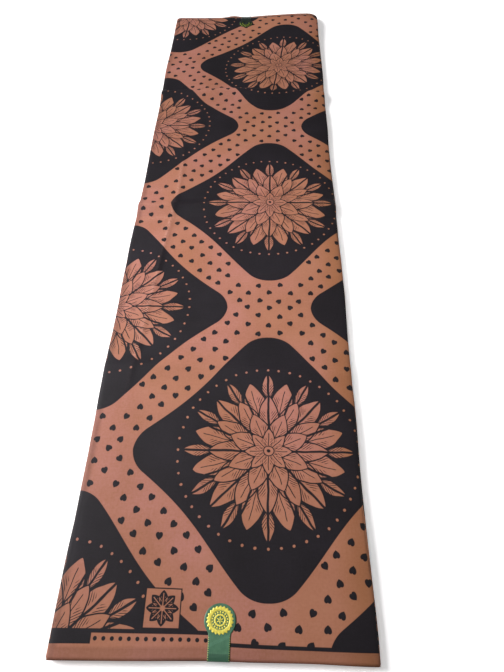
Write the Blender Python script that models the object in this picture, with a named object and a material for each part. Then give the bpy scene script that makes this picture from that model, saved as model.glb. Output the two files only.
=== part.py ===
"""Six yards of wax print cotton, plaited into layers and laid out as one long flat strip.

Metres, +Z up. +X runs across the strip, from fold to fold, and +Y along it, from the near
selvedge to the far one. The origin is on the floor under the middle of the strip.

Every surface is worked out in the cloth's own sizes: `s` is the distance across from the left
fold and `t` the distance along from the near selvedge.
"""
import math
from collections import namedtuple

import bmesh
import bpy
import numpy as np

# Driving sizes of the folded strip
STRIP_WIDTH = 0.305
PACK_LENGTH = 1.176
FAR_FLAP = 0.020
CLOTH_LENGTH = PACK_LENGTH + FAR_FLAP
PACK_HEIGHT = 0.0095
WALL = 0.0012
GAP = 0.0003
TURN_RADIUS = 0.003
TURN_STEPS = 3

# Hidden layers: each pair of layers shows as one rounded fold round the rim
FOLD_PAIRS = 8
FOLD_OUT = 0.0010
FOLD_RAGGED = 0.0005
FOLD_DEPTH = 0.0006
END_SETBACK = 0.0022

# Labels: a ribbon with a round head, and a scalloped seal on the head
RIBBON_WIDTH = 0.0205
RIBBON_WALL = 0.00045
RIBBON_FLOOR_GAP = 0.0008
HEAD_RADIUS = 0.015
SEAL_RADIUS = 0.0128
SCALLOPS = 22
SCALLOP_DEPTH = 0.0008
Label = namedtuple("Label", "name across along edge")
LABELS = (
    Label(name="near_label", across=0.158, along=0.0337, edge=0.0),
    Label(name="far_label", across=0.151, along=1.1550, edge=CLOTH_LENGTH),
)

# The seal's face, from its scalloped rim inwards: share of the radius and height above its back
Ring = namedtuple("Ring", "share height")
SEAL_RINGS = (
    Ring(share=1.00, height=0.00025),
    Ring(share=0.92, height=0.00055),
    Ring(share=0.76, height=0.00055),
    Ring(share=0.71, height=0.00035),
    Ring(share=0.39, height=0.00035),
    Ring(share=0.34, height=0.00055),
)
SEAL_MIDDLE_HEIGHT = 0.00065

# Creases across the strip, where the pack was folded in quarters: where each one lies along the
# strip, how far it wanders, its height, its run on the near and far side, and the depth of the
# trough on its near side. The trough's place and steep wall are shares of the near run
Crease = namedtuple("Crease", "along wander height near_run far_run trough")
CREASES = (
    Crease(along=0.306, wander=0.004, height=0.0014, near_run=0.016, far_run=0.010, trough=0.0003),
    Crease(along=0.5955, wander=-0.005, height=0.0044, near_run=0.018, far_run=0.010, trough=0.0016),
    Crease(along=0.8965, wander=-0.004, height=0.0048, near_run=0.024, far_run=0.0095, trough=0.0015),
)
TROUGH_BACK = 1.35
TROUGH_SHARE = 0.5

# A crease along the strip near its left side, steeper on its right, with a row for each bend
Bend = namedtuple("Bend", "along across height")
LONG_CREASE = (
    Bend(along=0.24, across=0.031, height=0.0),
    Bend(along=0.33, across=0.037, height=0.0012),
    Bend(along=0.46, across=0.047, height=0.0016),
    Bend(along=0.61, across=0.0572, height=0.0015),
    Bend(along=0.70, across=0.0585, height=0.0011),
    Bend(along=0.78, across=0.058, height=0.0),
)
LONG_CREASE_LEFT_RUN = 0.020
LONG_CREASE_RIGHT_RUN = 0.0048

# The cloth sinks a little towards both folds: over what run, and how far
Ease = namedtuple("Ease", "run drop")
LEFT_EASE = Ease(run=0.010, drop=0.0010)
RIGHT_EASE = Ease(run=0.024, drop=0.0016)

# The far right corner is lifted, and the far selvedge hangs over the end of the pack
CORNER_LIFT = 0.0066
LIFT_FROM_ACROSS = 0.130
LIFT_FULL_ACROSS = 0.275
LIFT_FROM_ALONG = 1.010
TIP_DROOP = 0.0040
TIP_RUN = 0.018
FLAP_SLOPE_LEFT = 0.44
FLAP_SLOPE_RIGHT = 0.27
FLAP_TURNS_FROM = 0.080
FLAP_TURNS_TO = 0.200
FLAP_BEND_RUN = 0.005

# The near selvedge is drawn in from the left to past the middle, and a little less at the right
DRAWN_IN = 0.0024
DRAWN_FROM = 0.02
DRAWN_FULL = 0.16
EVENED_OUT = 0.0010
EVENED_FROM = 0.17
EVENED_FULL = 0.30
SWAY_ENDS = 0.06

# Stations of the grids: even steps, with closer ones at the sides, the ends and the creases
EVEN_ACROSS = 8
SIDE_STATIONS = (0.003, 0.008, 0.016)
LONG_CREASE_STATIONS = (0.032, 0.042, 0.050, 0.058, 0.066)
EVEN_ALONG = 15
LEAST_STEP = 0.012
NEAR_STATIONS = (0.0, END_SETBACK, 0.020, 0.050)
CREASE_STATIONS = (-0.042, -0.026, -0.014, -0.005, 0.0, 0.006, 0.013, 0.022)
FAR_STATIONS = (-0.060, -0.030, -0.012, -END_SETBACK, 0.0, 0.003, 0.007, 0.012, FAR_FLAP)
RIBBON_STATIONS = 5
HEAD_STEPS = 7
TAIL_STEPS = 8
EDGE_STEPS = 3
SLOPE_STEP = 0.0005

Finish = namedtuple("Finish", "colour roughness metallic")
COPPER_CLOTH = Finish(colour=(0.43, 0.20, 0.13), roughness=0.62, metallic=0.0)
BLACK_CLOTH = Finish(colour=(0.022, 0.019, 0.020), roughness=0.55, metallic=0.0)
GREEN_RIBBON = Finish(colour=(0.05, 0.17, 0.10), roughness=0.40, metallic=0.0)
YELLOW_FOIL = Finish(colour=(0.80, 0.66, 0.08), roughness=0.35, metallic=0.3)
DARK_FOIL = Finish(colour=(0.06, 0.08, 0.05), roughness=0.35, metallic=0.3)


def smooth_step(value, start, end):
    """0 before start, 1 after end, and an even S between them."""
    share = np.clip((value - start) / (end - start), 0.0, 1.0)
    return share * share * (3.0 - 2.0 * share)


def hump(offset, near_run, far_run):
    """1 where the offset is 0, falling like a bell with its own run on either side."""
    run = np.where(offset < 0.0, near_run, far_run)
    return np.exp(-((offset / run) ** 2))


def crease_height(s, t):
    """The ridges across the strip, swelling and wandering, each with a trough on its near side."""
    total = np.zeros(np.broadcast(s, t).shape)
    share = s / STRIP_WIDTH
    for number, crease in enumerate(CREASES):
        ridge = crease.along + crease.wander * np.sin(math.pi * (1.6 * share + 0.35 * number))
        swell = 1.0 + 0.22 * np.sin(2.0 * math.pi * (1.3 * share + 0.31 * number))
        offset = t - ridge
        total += crease.height * swell * hump(offset, crease.near_run, crease.far_run)
        behind = offset + TROUGH_BACK * crease.near_run
        total -= crease.trough * hump(behind, TROUGH_SHARE * crease.near_run, crease.near_run)
    return total


def long_crease_height(s, t):
    """A low ridge along the strip, whose path and height run through the rows of LONG_CREASE."""
    along = [bend.along for bend in LONG_CREASE]
    across = np.interp(t, along, [bend.across for bend in LONG_CREASE])
    height = np.interp(t, along, [bend.height for bend in LONG_CREASE])
    return height * hump(s - across, LONG_CREASE_LEFT_RUN, LONG_CREASE_RIGHT_RUN)


def side_ease(s):
    """How far the cloth has sunk on its way to the left and right fold."""
    left = np.clip(1.0 - s / LEFT_EASE.run, 0.0, 1.0)
    right = np.clip(1.0 - (STRIP_WIDTH - s) / RIGHT_EASE.run, 0.0, 1.0)
    return LEFT_EASE.drop * left**2 + RIGHT_EASE.drop * right**2


def corner_lift(s, t):
    """The far right corner rises in a soft S, and its very tip turns down again."""
    lift = smooth_step(s, LIFT_FROM_ACROSS, LIFT_FULL_ACROSS)
    lift = lift * smooth_step(t, LIFT_FROM_ALONG, CLOTH_LENGTH)
    side = np.clip(1.0 - (STRIP_WIDTH - s) / TIP_RUN, 0.0, 1.0)
    tip = side**2 * smooth_step(t, PACK_LENGTH - TIP_RUN, CLOTH_LENGTH)
    return CORNER_LIFT * lift - TIP_DROOP * tip


def flap_droop(s, t):
    """How far the far selvedge has sunk past the pack's end: steeper on the left than the right."""
    past = np.clip(t - PACK_LENGTH, 0.0, None)
    turned = smooth_step(s, FLAP_TURNS_FROM, FLAP_TURNS_TO)
    slope = FLAP_SLOPE_LEFT + (FLAP_SLOPE_RIGHT - FLAP_SLOPE_LEFT) * turned
    return slope * past**2 / (past + FLAP_BEND_RUN)


def cloth_height(s, t):
    """Height above the floor of the cloth's upper face, between its turned-down sides."""
    raised = crease_height(s, t) + long_crease_height(s, t) + corner_lift(s, t)
    return PACK_HEIGHT + raised - side_ease(s) - flap_droop(s, t)


def side_sway(s, t):
    """Both folds wander by about a millimetre, so the long sides aren't ruled lines."""
    left = 0.0008 * np.sin(math.tau * t / 0.61 + 0.6) - 0.0006 * np.sin(math.tau * t / 0.23)
    right = 0.0007 * np.sin(math.tau * t / 0.52 + 2.1) + 0.0005 * np.sin(math.tau * t / 0.19)
    share = s / STRIP_WIDTH
    return left * (1.0 - share) + right * share


def end_sway(s, t):
    """How far the near selvedge is drawn in, with a small ripple, fading out along the cloth."""
    drawn = DRAWN_IN * smooth_step(s, DRAWN_FROM, DRAWN_FULL)
    drawn = drawn - EVENED_OUT * smooth_step(s, EVENED_FROM, EVENED_FULL)
    ripple = 0.0002 * np.sin(math.tau * s / 0.11)
    return (drawn + ripple) * (1.0 - smooth_step(t, 0.0, SWAY_ENDS))


def placed(s, t, z):
    """Cloth sizes to world points, with the middle of the strip over the origin."""
    x = s + side_sway(s, t) - 0.5 * STRIP_WIDTH
    y = t + end_sway(s, t) - 0.5 * CLOTH_LENGTH
    return np.stack(np.broadcast_arrays(x, y, z), axis=-1)


def across_stations():
    """Distances across the top, from one turned-down side to the other."""
    sides = np.array(SIDE_STATIONS)
    first = LONG_CREASE_STATIONS[-1]
    middle = np.linspace(first, STRIP_WIDTH - 2.0 * SIDE_STATIONS[-1], EVEN_ACROSS + 1)[1:]
    return np.concatenate([sides, LONG_CREASE_STATIONS, middle, (STRIP_WIDTH - sides)[::-1]])


def along_stations():
    """Distances along the cloth from selvedge to selvedge, closer together where it bends."""
    creases = [crease.along + offset for crease in CREASES for offset in CREASE_STATIONS]
    far = [PACK_LENGTH + offset for offset in FAR_STATIONS]
    wanted = np.array([*NEAR_STATIONS, *creases, *far])
    even = np.linspace(0.0, CLOTH_LENGTH, EVEN_ALONG)
    between = [value for value in even if np.abs(wanted - value).min() > LEAST_STEP]
    return np.sort(np.concatenate([wanted, between]))


def outer_face(along):
    """Grid of points on the cloth's outer face: the top, with a quarter turn down at each side.

    Where the cloth hangs low past the pack's end, its sides turn down less.
    """
    angles = np.linspace(0.5 * math.pi, 0.0, TURN_STEPS, endpoint=False)
    turn_in = TURN_RADIUS * (1.0 - np.sin(angles))
    turn_drop = TURN_RADIUS * (1.0 - np.cos(angles))
    across = across_stations()
    columns = np.concatenate([turn_in, across, (STRIP_WIDTH - turn_in)[::-1]])
    drops = np.concatenate([turn_drop, np.zeros(len(across)), turn_drop[::-1]])
    s, t = np.meshgrid(columns, along)
    height = cloth_height(np.clip(s, TURN_RADIUS, STRIP_WIDTH - TURN_RADIUS), t)
    return placed(s, t, height - drops * np.clip(height / PACK_HEIGHT, 0.0, 1.0))


def unit(vectors):
    """Each vector at length 1."""
    return vectors / np.linalg.norm(vectors, axis=-1, keepdims=True)


def tangents(points, axis):
    """At each point, the mean direction of the steps before and after it along one axis."""
    steps = unit(np.diff(points, axis=axis))
    before = np.concatenate([np.take(steps, [0], axis=axis), steps], axis=axis)
    after = np.concatenate([steps, np.take(steps, [-1], axis=axis)], axis=axis)
    return unit(before + after)


def moved_out(points, distance):
    """The same grid of points, moved along the face's own normals."""
    return points + distance * unit(np.cross(tangents(points, 1), tangents(points, 0)))


def on_cloth(s, t, out):
    """Points above the cloth's upper face, by `out` along its normal, and that normal."""
    s, t = np.broadcast_arrays(s, t)
    here = placed(s, t, cloth_height(s, t))
    right = placed(s + SLOPE_STEP, t, cloth_height(s + SLOPE_STEP, t))
    ahead = placed(s, t + SLOPE_STEP, cloth_height(s, t + SLOPE_STEP))
    normal = unit(np.cross(right - here, ahead - here))
    return here + np.asarray(out)[..., None] * normal, normal


def add_object(name, vertices, faces, finish):
    """One closed mesh object, with its own Principled material and its faces pointing out."""
    mesh = bpy.data.meshes.new(name)
    mesh.from_pydata([tuple(vertex) for vertex in vertices], [], faces)
    shape = bmesh.new()
    shape.from_mesh(mesh)
    bmesh.ops.recalc_face_normals(shape, faces=shape.faces)
    shape.to_mesh(mesh)
    shape.free()
    material = bpy.data.materials.new(name)
    material.use_nodes = True
    shader = material.node_tree.nodes["Principled BSDF"]
    shader.inputs["Base Color"].default_value = (*finish.colour, 1.0)
    shader.inputs["Roughness"].default_value = finish.roughness
    shader.inputs["Metallic"].default_value = finish.metallic
    mesh.materials.append(material)
    thing = bpy.data.objects.new(name, mesh)
    bpy.context.scene.collection.objects.link(thing)
    return thing


def grid_faces(rows, columns, first=0):
    """Triangles of a grid whose points are numbered row by row from `first`.

    Every square is split along the same diagonal, so that faces over each other stay parallel.
    """
    corner = (first + np.arange(rows - 1)[:, None] * columns + np.arange(columns - 1)).ravel()
    below = np.stack([corner, corner + 1, corner + columns + 1], axis=-1)
    above = np.stack([corner, corner + columns + 1, corner + columns], axis=-1)
    return np.concatenate([below, above]).tolist()


def rim_numbers(rows, columns):
    """Numbers of the points round a grid's edge, in order and each once."""
    numbers = np.arange(rows * columns).reshape(rows, columns)
    sides = [numbers[0, :-1], numbers[:-1, -1], numbers[-1, :0:-1], numbers[:0:-1, 0]]
    return np.concatenate(sides)


def loop_faces(lower, upper):
    """Quads between two closed loops of the same length."""
    following = list(range(1, len(lower))) + [0]
    return [[lower[i], lower[j], upper[j], upper[i]] for i, j in enumerate(following)]


def add_wall(name, outer, inner, finish):
    """A sheet with a thickness: two grids of the same size, joined round their edge."""
    rows, columns = outer.shape[:2]
    count = rows * columns
    rim = rim_numbers(rows, columns)
    faces = grid_faces(rows, columns) + grid_faces(rows, columns, count)
    faces += loop_faces(rim.tolist(), (rim + count).tolist())
    vertices = np.concatenate([outer.reshape(-1, 3), inner.reshape(-1, 3)])
    return add_object(name, vertices, faces, finish)


def add_top_layer():
    """The layer that shows: one wall from selvedge to selvedge, both long sides turned down."""
    outer = outer_face(along_stations())
    return add_wall("top_layer", outer, moved_out(outer, -WALL), COPPER_CLOTH)


def rim_directions(rows, columns):
    """For each point round a grid's edge, which way is out. Corners go out along the strip only."""
    ways = np.zeros((rows, columns, 2))
    ways[:, 0] = (-1.0, 0.0)
    ways[:, -1] = (1.0, 0.0)
    ways[0] = (0.0, -1.0)
    ways[-1] = (0.0, 1.0)
    return ways.reshape(-1, 2)[rim_numbers(rows, columns)]


def fold_reach(rim, pair):
    """How far a pair of layers stands out all round: each pair wanders in its own way."""
    walk = rim[:, 0] + rim[:, 1]
    slow = np.sin(math.tau * (walk / 0.47 + 0.37 * pair))
    quick = np.sin(math.tau * (walk / 0.131 + 0.23 * pair * pair))
    return FOLD_OUT + FOLD_RAGGED * (0.65 * slow + 0.35 * quick)


def fold_loops(rim, ways):
    """Loops down the pack's rim: crest, groove, crest, groove, down to the flat underside."""
    loops = [rim - (0.0, 0.0, GAP)]
    top = loops[0][:, 2]
    for pair in range(FOLD_PAIRS):
        crest_reach = fold_reach(rim, pair)
        next_reach = fold_reach(rim, pair + 1)
        groove_reach = np.minimum(crest_reach, next_reach) - FOLD_DEPTH
        for reach, share in ((crest_reach, pair + 0.5), (groove_reach, pair + 1.0)):
            loop = rim.copy()
            loop[:, :2] += ways * reach[:, None]
            loop[:, 2] = top * (1.0 - share / FOLD_PAIRS)
            loops.append(loop)
    return loops


def add_folded_layers():
    """The layers below: one solid under the top layer, with a rounded fold for each pair of layers."""
    along = along_stations()
    under_top = moved_out(outer_face(along), -(WALL + GAP))
    cap = under_top[(along >= END_SETBACK) & (along <= PACK_LENGTH - END_SETBACK)]
    rows, columns = cap.shape[:2]
    numbers = rim_numbers(rows, columns)
    rim = cap.reshape(-1, 3)[numbers]
    loops = fold_loops(rim, rim_directions(rows, columns))
    vertices = np.concatenate([cap.reshape(-1, 3)] + loops)
    faces = grid_faces(rows, columns)
    upper = numbers.tolist()
    for number in range(len(loops)):
        start = rows * columns + number * len(upper)
        lower = list(range(start, start + len(upper)))
        faces += loop_faces(lower, upper)
        upper = lower
    faces.append(upper)
    return add_object("folded_layers", vertices, faces, BLACK_CLOTH)


def ribbon_rows(label):
    """Rows over the cloth from the head's tip to the edge: distance along, and half width."""
    way = math.copysign(1.0, label.edge - label.along)
    neck_half = 0.5 * RIBBON_WIDTH
    neck_angle = math.acos(neck_half / HEAD_RADIUS)
    angles = np.linspace(-math.radians(80.0), neck_angle, HEAD_STEPS)
    head = label.along + way * HEAD_RADIUS * np.sin(angles)
    tail = np.linspace(head[-1], label.edge, TAIL_STEPS + 1)[1:]
    half = np.concatenate([HEAD_RADIUS * np.cos(angles), np.full(TAIL_STEPS, neck_half)])
    return np.concatenate([head, tail]), half, way


def ribbon_face(label, out):
    """One face of a ribbon, `out` above the cloth: over the top, round the edge and down the end."""
    along, half, way = ribbon_rows(label)
    spread = np.linspace(-1.0, 1.0, RIBBON_STATIONS)
    s = label.across + half[:, None] * spread
    over, normals = on_cloth(s, along[:, None], out)
    up = normals[-1]
    edge = over[-1] - out * up
    beyond = unit(np.cross(up, (1.0, 0.0, 0.0)) * way)
    turn = []
    for angle in np.linspace(0.0, 0.5 * math.pi, EDGE_STEPS + 1)[1:]:
        turn.append(edge + out * (math.cos(angle) * up + math.sin(angle) * beyond))
    hem = turn[-1].copy()
    hem[:, 2] = RIBBON_FLOOR_GAP
    return np.concatenate([over, np.stack(turn), hem[None]])


def add_ribbon(label):
    """A label's ribbon: a round head on the cloth and a tail over the selvedge."""
    inner = ribbon_face(label, GAP)
    outer = ribbon_face(label, GAP + RIBBON_WALL)
    return add_wall(f"{label.name}_ribbon", outer, inner, GREEN_RIBBON)


def add_seal(label, finish):
    """A label's seal: a scalloped disc with a raised rim band and a raised middle."""
    angles = np.arange(2 * SCALLOPS) * math.pi / SCALLOPS
    back = GAP + RIBBON_WALL + GAP
    notches = SEAL_RADIUS - SCALLOP_DEPTH * (np.arange(2 * SCALLOPS) % 2)
    radii = [notches] + [np.full(2 * SCALLOPS, SEAL_RADIUS * ring.share) for ring in SEAL_RINGS[1:]]
    heights = [ring.height for ring in SEAL_RINGS]
    loops = []
    for radius, height in zip([notches] + radii, [0.0] + heights):
        s = label.across + radius * np.cos(angles)
        t = label.along + radius * np.sin(angles)
        loops.append(on_cloth(s, t, back + height)[0])
    middle = [on_cloth(label.across, label.along, back + rise)[0] for rise in (0.0, SEAL_MIDDLE_HEIGHT)]
    vertices = np.concatenate(loops + [np.array(middle)])
    count = len(angles)
    rings = [list(range(start, start + count)) for start in range(0, count * len(loops), count)]
    faces = []
    for lower, upper in zip(rings, rings[1:]):
        faces += loop_faces(lower, upper)
    for ring, centre in ((rings[0], len(vertices) - 2), (rings[-1], len(vertices) - 1)):
        faces += [[a, b, centre] for a, b in zip(ring, ring[1:] + ring[:1])]
    return add_object(f"{label.name}_seal", vertices, faces, finish)


def main():
    for thing in list(bpy.data.objects):
        bpy.data.objects.remove(thing, do_unlink=True)
    add_top_layer()
    add_folded_layers()
    for label, foil in zip(LABELS, (YELLOW_FOIL, DARK_FOIL)):
        add_ribbon(label)
        add_seal(label, foil)


main()
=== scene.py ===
# %% [markdown]
# A length of wax print cotton, six yards long, lies plaited into a flat strip: its layers are
# folded over each other from side to side, and the two selvedges lie at the strip's near and
# far end. A green ribbon with a foil seal sits on each selvedge.
#
# The cloth's form is worked out with numpy in the cloth's own sizes: `s` is the distance across
# from the left fold and `t` the distance along from the near selvedge. The print is worked out
# in the material, from a UV map in metres of flat cloth, so it runs on round every fold.

# %% The fixed frame
import math
from collections import namedtuple
from functools import partialmethod

import bmesh
import bpy
import numpy as np
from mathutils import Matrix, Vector


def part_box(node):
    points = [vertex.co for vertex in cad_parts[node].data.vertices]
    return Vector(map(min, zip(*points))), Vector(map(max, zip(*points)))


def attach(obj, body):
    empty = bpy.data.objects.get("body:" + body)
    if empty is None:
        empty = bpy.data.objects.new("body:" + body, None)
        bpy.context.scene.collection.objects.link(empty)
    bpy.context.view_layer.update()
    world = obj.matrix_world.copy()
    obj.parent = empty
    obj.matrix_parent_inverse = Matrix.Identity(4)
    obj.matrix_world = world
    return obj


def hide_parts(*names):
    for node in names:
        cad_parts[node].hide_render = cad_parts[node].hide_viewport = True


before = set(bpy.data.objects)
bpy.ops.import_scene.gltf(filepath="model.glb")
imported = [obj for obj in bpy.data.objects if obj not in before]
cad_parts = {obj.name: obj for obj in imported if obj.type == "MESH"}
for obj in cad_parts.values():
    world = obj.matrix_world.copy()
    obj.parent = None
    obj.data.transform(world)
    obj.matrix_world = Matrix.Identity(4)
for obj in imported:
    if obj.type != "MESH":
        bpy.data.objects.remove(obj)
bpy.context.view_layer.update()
print("nodes:", sorted(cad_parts))

# %% [markdown]
# ## Sizes of the folded cloth
#
# Cloth for wax print is 46 to 48 inches wide from selvedge to selvedge, and a shop folds it about
# twelve inches wide. Six yards then make eighteen layers. The sizes below are those that the solid
# frame was built from, and the print-out shows that both agree.

# %% Sizes of the cloth
STRIP_WIDTH = 0.305
PACK_LENGTH = 1.176
FAR_FLAP = 0.020
CLOTH_LENGTH = PACK_LENGTH + FAR_FLAP
PACK_HEIGHT = 0.0095
CLOTH_THICKNESS = 0.0003
LAYERS = 18

top_low, top_high = (np.array(corner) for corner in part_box("top_layer"))
print("strip in mm:", 1000.0 * STRIP_WIDTH, "by", 1000.0 * CLOTH_LENGTH)
print("frame's top layer in mm:", np.round(1000.0 * (top_high - top_low), 1))

# %% [markdown]
# ## The camera
#
# The photograph was taken standing over the near end, with a phone's wide lens, looking down
# at 57 degrees. The lens is given by its focal length in units of the picture's long side.

# %% Camera at the photograph's angle
PICTURE_LONG_SIDE = 672
FOCAL_PIXELS = 505.0
SENSOR = 36.0
CAMERA_PLACE = (0.0413, -0.5983, 0.5516)
CAMERA_TURN = (0.578548, 0.0085389, 0.0216902)


def add_camera():
    """A camera at the place and turn that put the strip's corners where the photograph has them."""
    data = bpy.data.cameras.new("camera")
    data.sensor_width = SENSOR
    data.lens = FOCAL_PIXELS / PICTURE_LONG_SIDE * SENSOR
    camera = bpy.data.objects.new("camera", data)
    camera.location = CAMERA_PLACE
    camera.rotation_euler = CAMERA_TURN
    bpy.context.scene.collection.objects.link(camera)
    bpy.context.scene.camera = camera
    return camera


camera = add_camera()
print("lens in mm:", round(camera.data.lens, 2))

# %% [markdown]
# ## The form of the upper face
#
# The pack had been folded in quarters, which left three ridges across it. Each ridge is a bell
# curve that falls faster on its far side, with a shallow trough in front. Three long creases run
# along the strip near its left side: a sharp one, a soft one and a groove. The cloth sinks
# towards both folds, the near selvedge rolls over and is drawn in, the far right corner curls up,
# and the far selvedge hangs a little over the pack's end. Each of these is a small function of
# `s` and `t`, and the height of the cloth is their sum.

# %% Helpers for soft shapes
Wave = namedtuple("Wave", "height length phase")


def smooth_step(value, start, end):
    """0 before start, 1 after end, and an even S between them: 3 x squared less 2 x cubed."""
    share = np.clip((value - start) / (end - start), 0.0, 1.0)
    return share * share * (3.0 - 2.0 * share)


def hump(offset, near_run, far_run=None):
    """A bell, e to the minus offset over run squared, whose run may be another past 0."""
    run = np.where(offset < 0.0, near_run, far_run or near_run)
    return np.exp(-((offset / run) ** 2))


def waves(distance, *parts):
    """A sum of sines of a distance, each with its own height, length and phase."""
    return sum(part.height * np.sin(math.tau * distance / part.length + part.phase) for part in parts)


# %% Ridges across the strip
Crease = namedtuple("Crease", "along wander height near_run far_run trough")
CREASES = (
    Crease(along=0.306, wander=0.004, height=0.0014, near_run=0.016, far_run=0.010, trough=0.0003),
    Crease(along=0.5955, wander=-0.005, height=0.0044, near_run=0.018, far_run=0.0100, trough=0.0016),
    Crease(along=0.8965, wander=-0.004, height=0.0048, near_run=0.024, far_run=0.0095, trough=0.0015),
)
TROUGH_BACK = 1.35
TROUGH_SHARE = 0.5
WANDER_HALF_TURNS = 1.6
WANDER_STEP = 0.35
SWELL = 0.22
SWELL_TURNS = 1.3
SWELL_STEP = 0.31


def ridge_place(crease, number, s):
    """Where a ridge lies along the strip: its mean place, wandering by a sine across the strip."""
    half_turns = WANDER_HALF_TURNS * s / STRIP_WIDTH + WANDER_STEP * number
    return crease.along + crease.wander * np.sin(math.pi * half_turns)


def crease_height(s, t):
    """Sum over the ridges of height times bell, less trough times a bell on the near side."""
    total = 0.0
    for number, crease in enumerate(CREASES):
        turns = SWELL_TURNS * s / STRIP_WIDTH + SWELL_STEP * number
        swell = 1.0 + SWELL * np.sin(math.tau * turns)
        offset = t - ridge_place(crease, number, s)
        total = total + crease.height * swell * hump(offset, crease.near_run, crease.far_run)
        in_front = offset + TROUGH_BACK * crease.near_run
        trough = hump(in_front, TROUGH_SHARE * crease.near_run, crease.near_run)
        total = total - crease.trough * trough
    return total


print("ridges at, in mm along:", [round(1000.0 * crease.along) for crease in CREASES])

# %% Creases along the strip
LongCrease = namedtuple("LongCrease", "left_run right_run pinch bends")
# A bend is a place along, a place across and a height
SHARP_BENDS = (
    (0.24, 0.031, 0.0),
    (0.33, 0.037, 0.0012),
    (0.46, 0.047, 0.0016),
    (0.61, 0.0572, 0.0015),
    (0.70, 0.0585, 0.0011),
    (0.78, 0.058, 0.0),
)
SOFT_BENDS = (
    (0.36, 0.014, 0.0),
    (0.44, 0.016, 0.0005),
    (0.53, 0.019, 0.0004),
    (0.60, 0.022, 0.0),
)
GROOVE_BENDS = (
    (0.02, 0.0045, 0.0),
    (0.05, 0.0045, -0.00025),
    (0.14, 0.0050, -0.00025),
    (0.21, 0.0085, -0.0002),
    (0.29, 0.0085, 0.0),
)
LONG_CREASES = (
    LongCrease(left_run=0.020, right_run=0.0048, pinch=0.30, bends=SHARP_BENDS),
    LongCrease(left_run=0.005, right_run=0.008, pinch=0.0, bends=SOFT_BENDS),
    LongCrease(left_run=0.0014, right_run=0.0060, pinch=0.0, bends=GROOVE_BENDS),
)
CREST_RUN = 0.0022


def long_crease_path(crease, t):
    """Place across and height of a long crease at each distance along, joined up straight."""
    along, across, height = zip(*crease.bends)
    return np.interp(t, along, across), np.interp(t, along, height)


def long_crease_height(s, t):
    """Sum of the paths' heights times a bell of the distance from each, with a pinched crest."""
    total = 0.0
    for crease in LONG_CREASES:
        across, height = long_crease_path(crease, t)
        bell = hump(s - across, crease.left_run, crease.right_run)
        crest = np.exp(-np.abs(s - across) / CREST_RUN)
        total = total + height * ((1.0 - crease.pinch) * bell + crease.pinch * crest)
    return total


print("sharp crease, at most in mm:", 1000.0 * max(height for _, _, height in SHARP_BENDS))

# %% Small crinkles and slow ripples
Crinkle = namedtuple("Crinkle", "along across length slant height")
CRINKLES = (
    Crinkle(0.346, 0.105, 0.075, 0.05, 0.00022),
    Crinkle(0.371, 0.118, 0.090, -0.02, 0.00026),
    Crinkle(0.412, 0.262, 0.050, -0.12, 0.00018),
    Crinkle(0.172, 0.235, 0.060, 0.08, 0.00016),
    Crinkle(0.566, 0.045, 0.065, 0.10, 0.00045),
    Crinkle(0.548, 0.190, 0.120, -0.04, 0.00030),
    Crinkle(0.628, 0.020, 0.040, -0.15, 0.00035),
    Crinkle(0.742, 0.150, 0.085, 0.03, 0.00018),
    Crinkle(0.852, 0.090, 0.100, 0.05, 0.00030),
    Crinkle(0.916, 0.070, 0.060, -0.06, 0.00030),
    Crinkle(1.032, 0.215, 0.070, 0.09, 0.00018),
    Crinkle(0.028, 0.225, 0.050, 0.02, 0.00014),
)
CRINKLE_RUN = 0.0042
Ripple = namedtuple("Ripple", "across along phase height")
RIPPLES = (
    Ripple(across=0.210, along=0.137, phase=0.4, height=0.00020),
    Ripple(across=0.093, along=0.310, phase=2.1, height=0.00012),
    Ripple(across=-0.340, along=0.058, phase=4.0, height=0.00008),
)


def crinkle_bell(crinkle, s, t):
    """A narrow bell along a slanted line, which fades out towards both of its ends."""
    offset = t - crinkle.along - crinkle.slant * (s - crinkle.across)
    return hump(offset, CRINKLE_RUN) * hump(s - crinkle.across, 0.5 * crinkle.length)


def crinkle_height(s, t):
    """Sum of the crinkles' bells and of slow sines that run slantwise over the strip."""
    total = sum(crinkle.height * crinkle_bell(crinkle, s, t) for crinkle in CRINKLES)
    for ripple in RIPPLES:
        turns = s / ripple.across + t / ripple.along
        total = total + ripple.height * np.sin(math.tau * turns + ripple.phase)
    return total


print("crinkles:", len(CRINKLES), "of at most", 1000.0 * max(c.height for c in CRINKLES), "mm")

# %% Wear and painted highlight on the crests
# How wide a crest is rubbed paler, as wear and as a painted highlight, and how high it would
# have to be to be rubbed through
RIDGE_WEAR_HIGHLIGHT_RUN = 0.0030
RIDGE_FULL_HEIGHT = 0.0150
LONG_WEAR_HIGHLIGHT_RUN = 0.0024
LONG_FULL_HEIGHT = 0.0013
CRINKLE_FULL_HEIGHT = 0.0009


def crease_wear_and_highlight(s, t):
    """How strongly a place is creased, 0 to 1, by bells on every crest: wear and a painted highlight."""
    across, height = long_crease_path(LONG_CREASES[0], t)
    total = hump(s - across, LONG_WEAR_HIGHLIGHT_RUN) * height / LONG_FULL_HEIGHT
    for number, crease in enumerate(CREASES):
        bell = hump(t - ridge_place(crease, number, s), RIDGE_WEAR_HIGHLIGHT_RUN)
        total = total + bell * crease.height / RIDGE_FULL_HEIGHT
    for crinkle in CRINKLES:
        total = total + crinkle_bell(crinkle, s, t) * crinkle.height / CRINKLE_FULL_HEIGHT
    return np.clip(total, 0.0, 1.0)


on_crests = [ridge_place(crease, number, 0.5 * STRIP_WIDTH) for number, crease in enumerate(CREASES)]
print("wear on the ridges:", np.round(crease_wear_and_highlight(0.5 * STRIP_WIDTH, np.array(on_crests)), 2))

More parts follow.
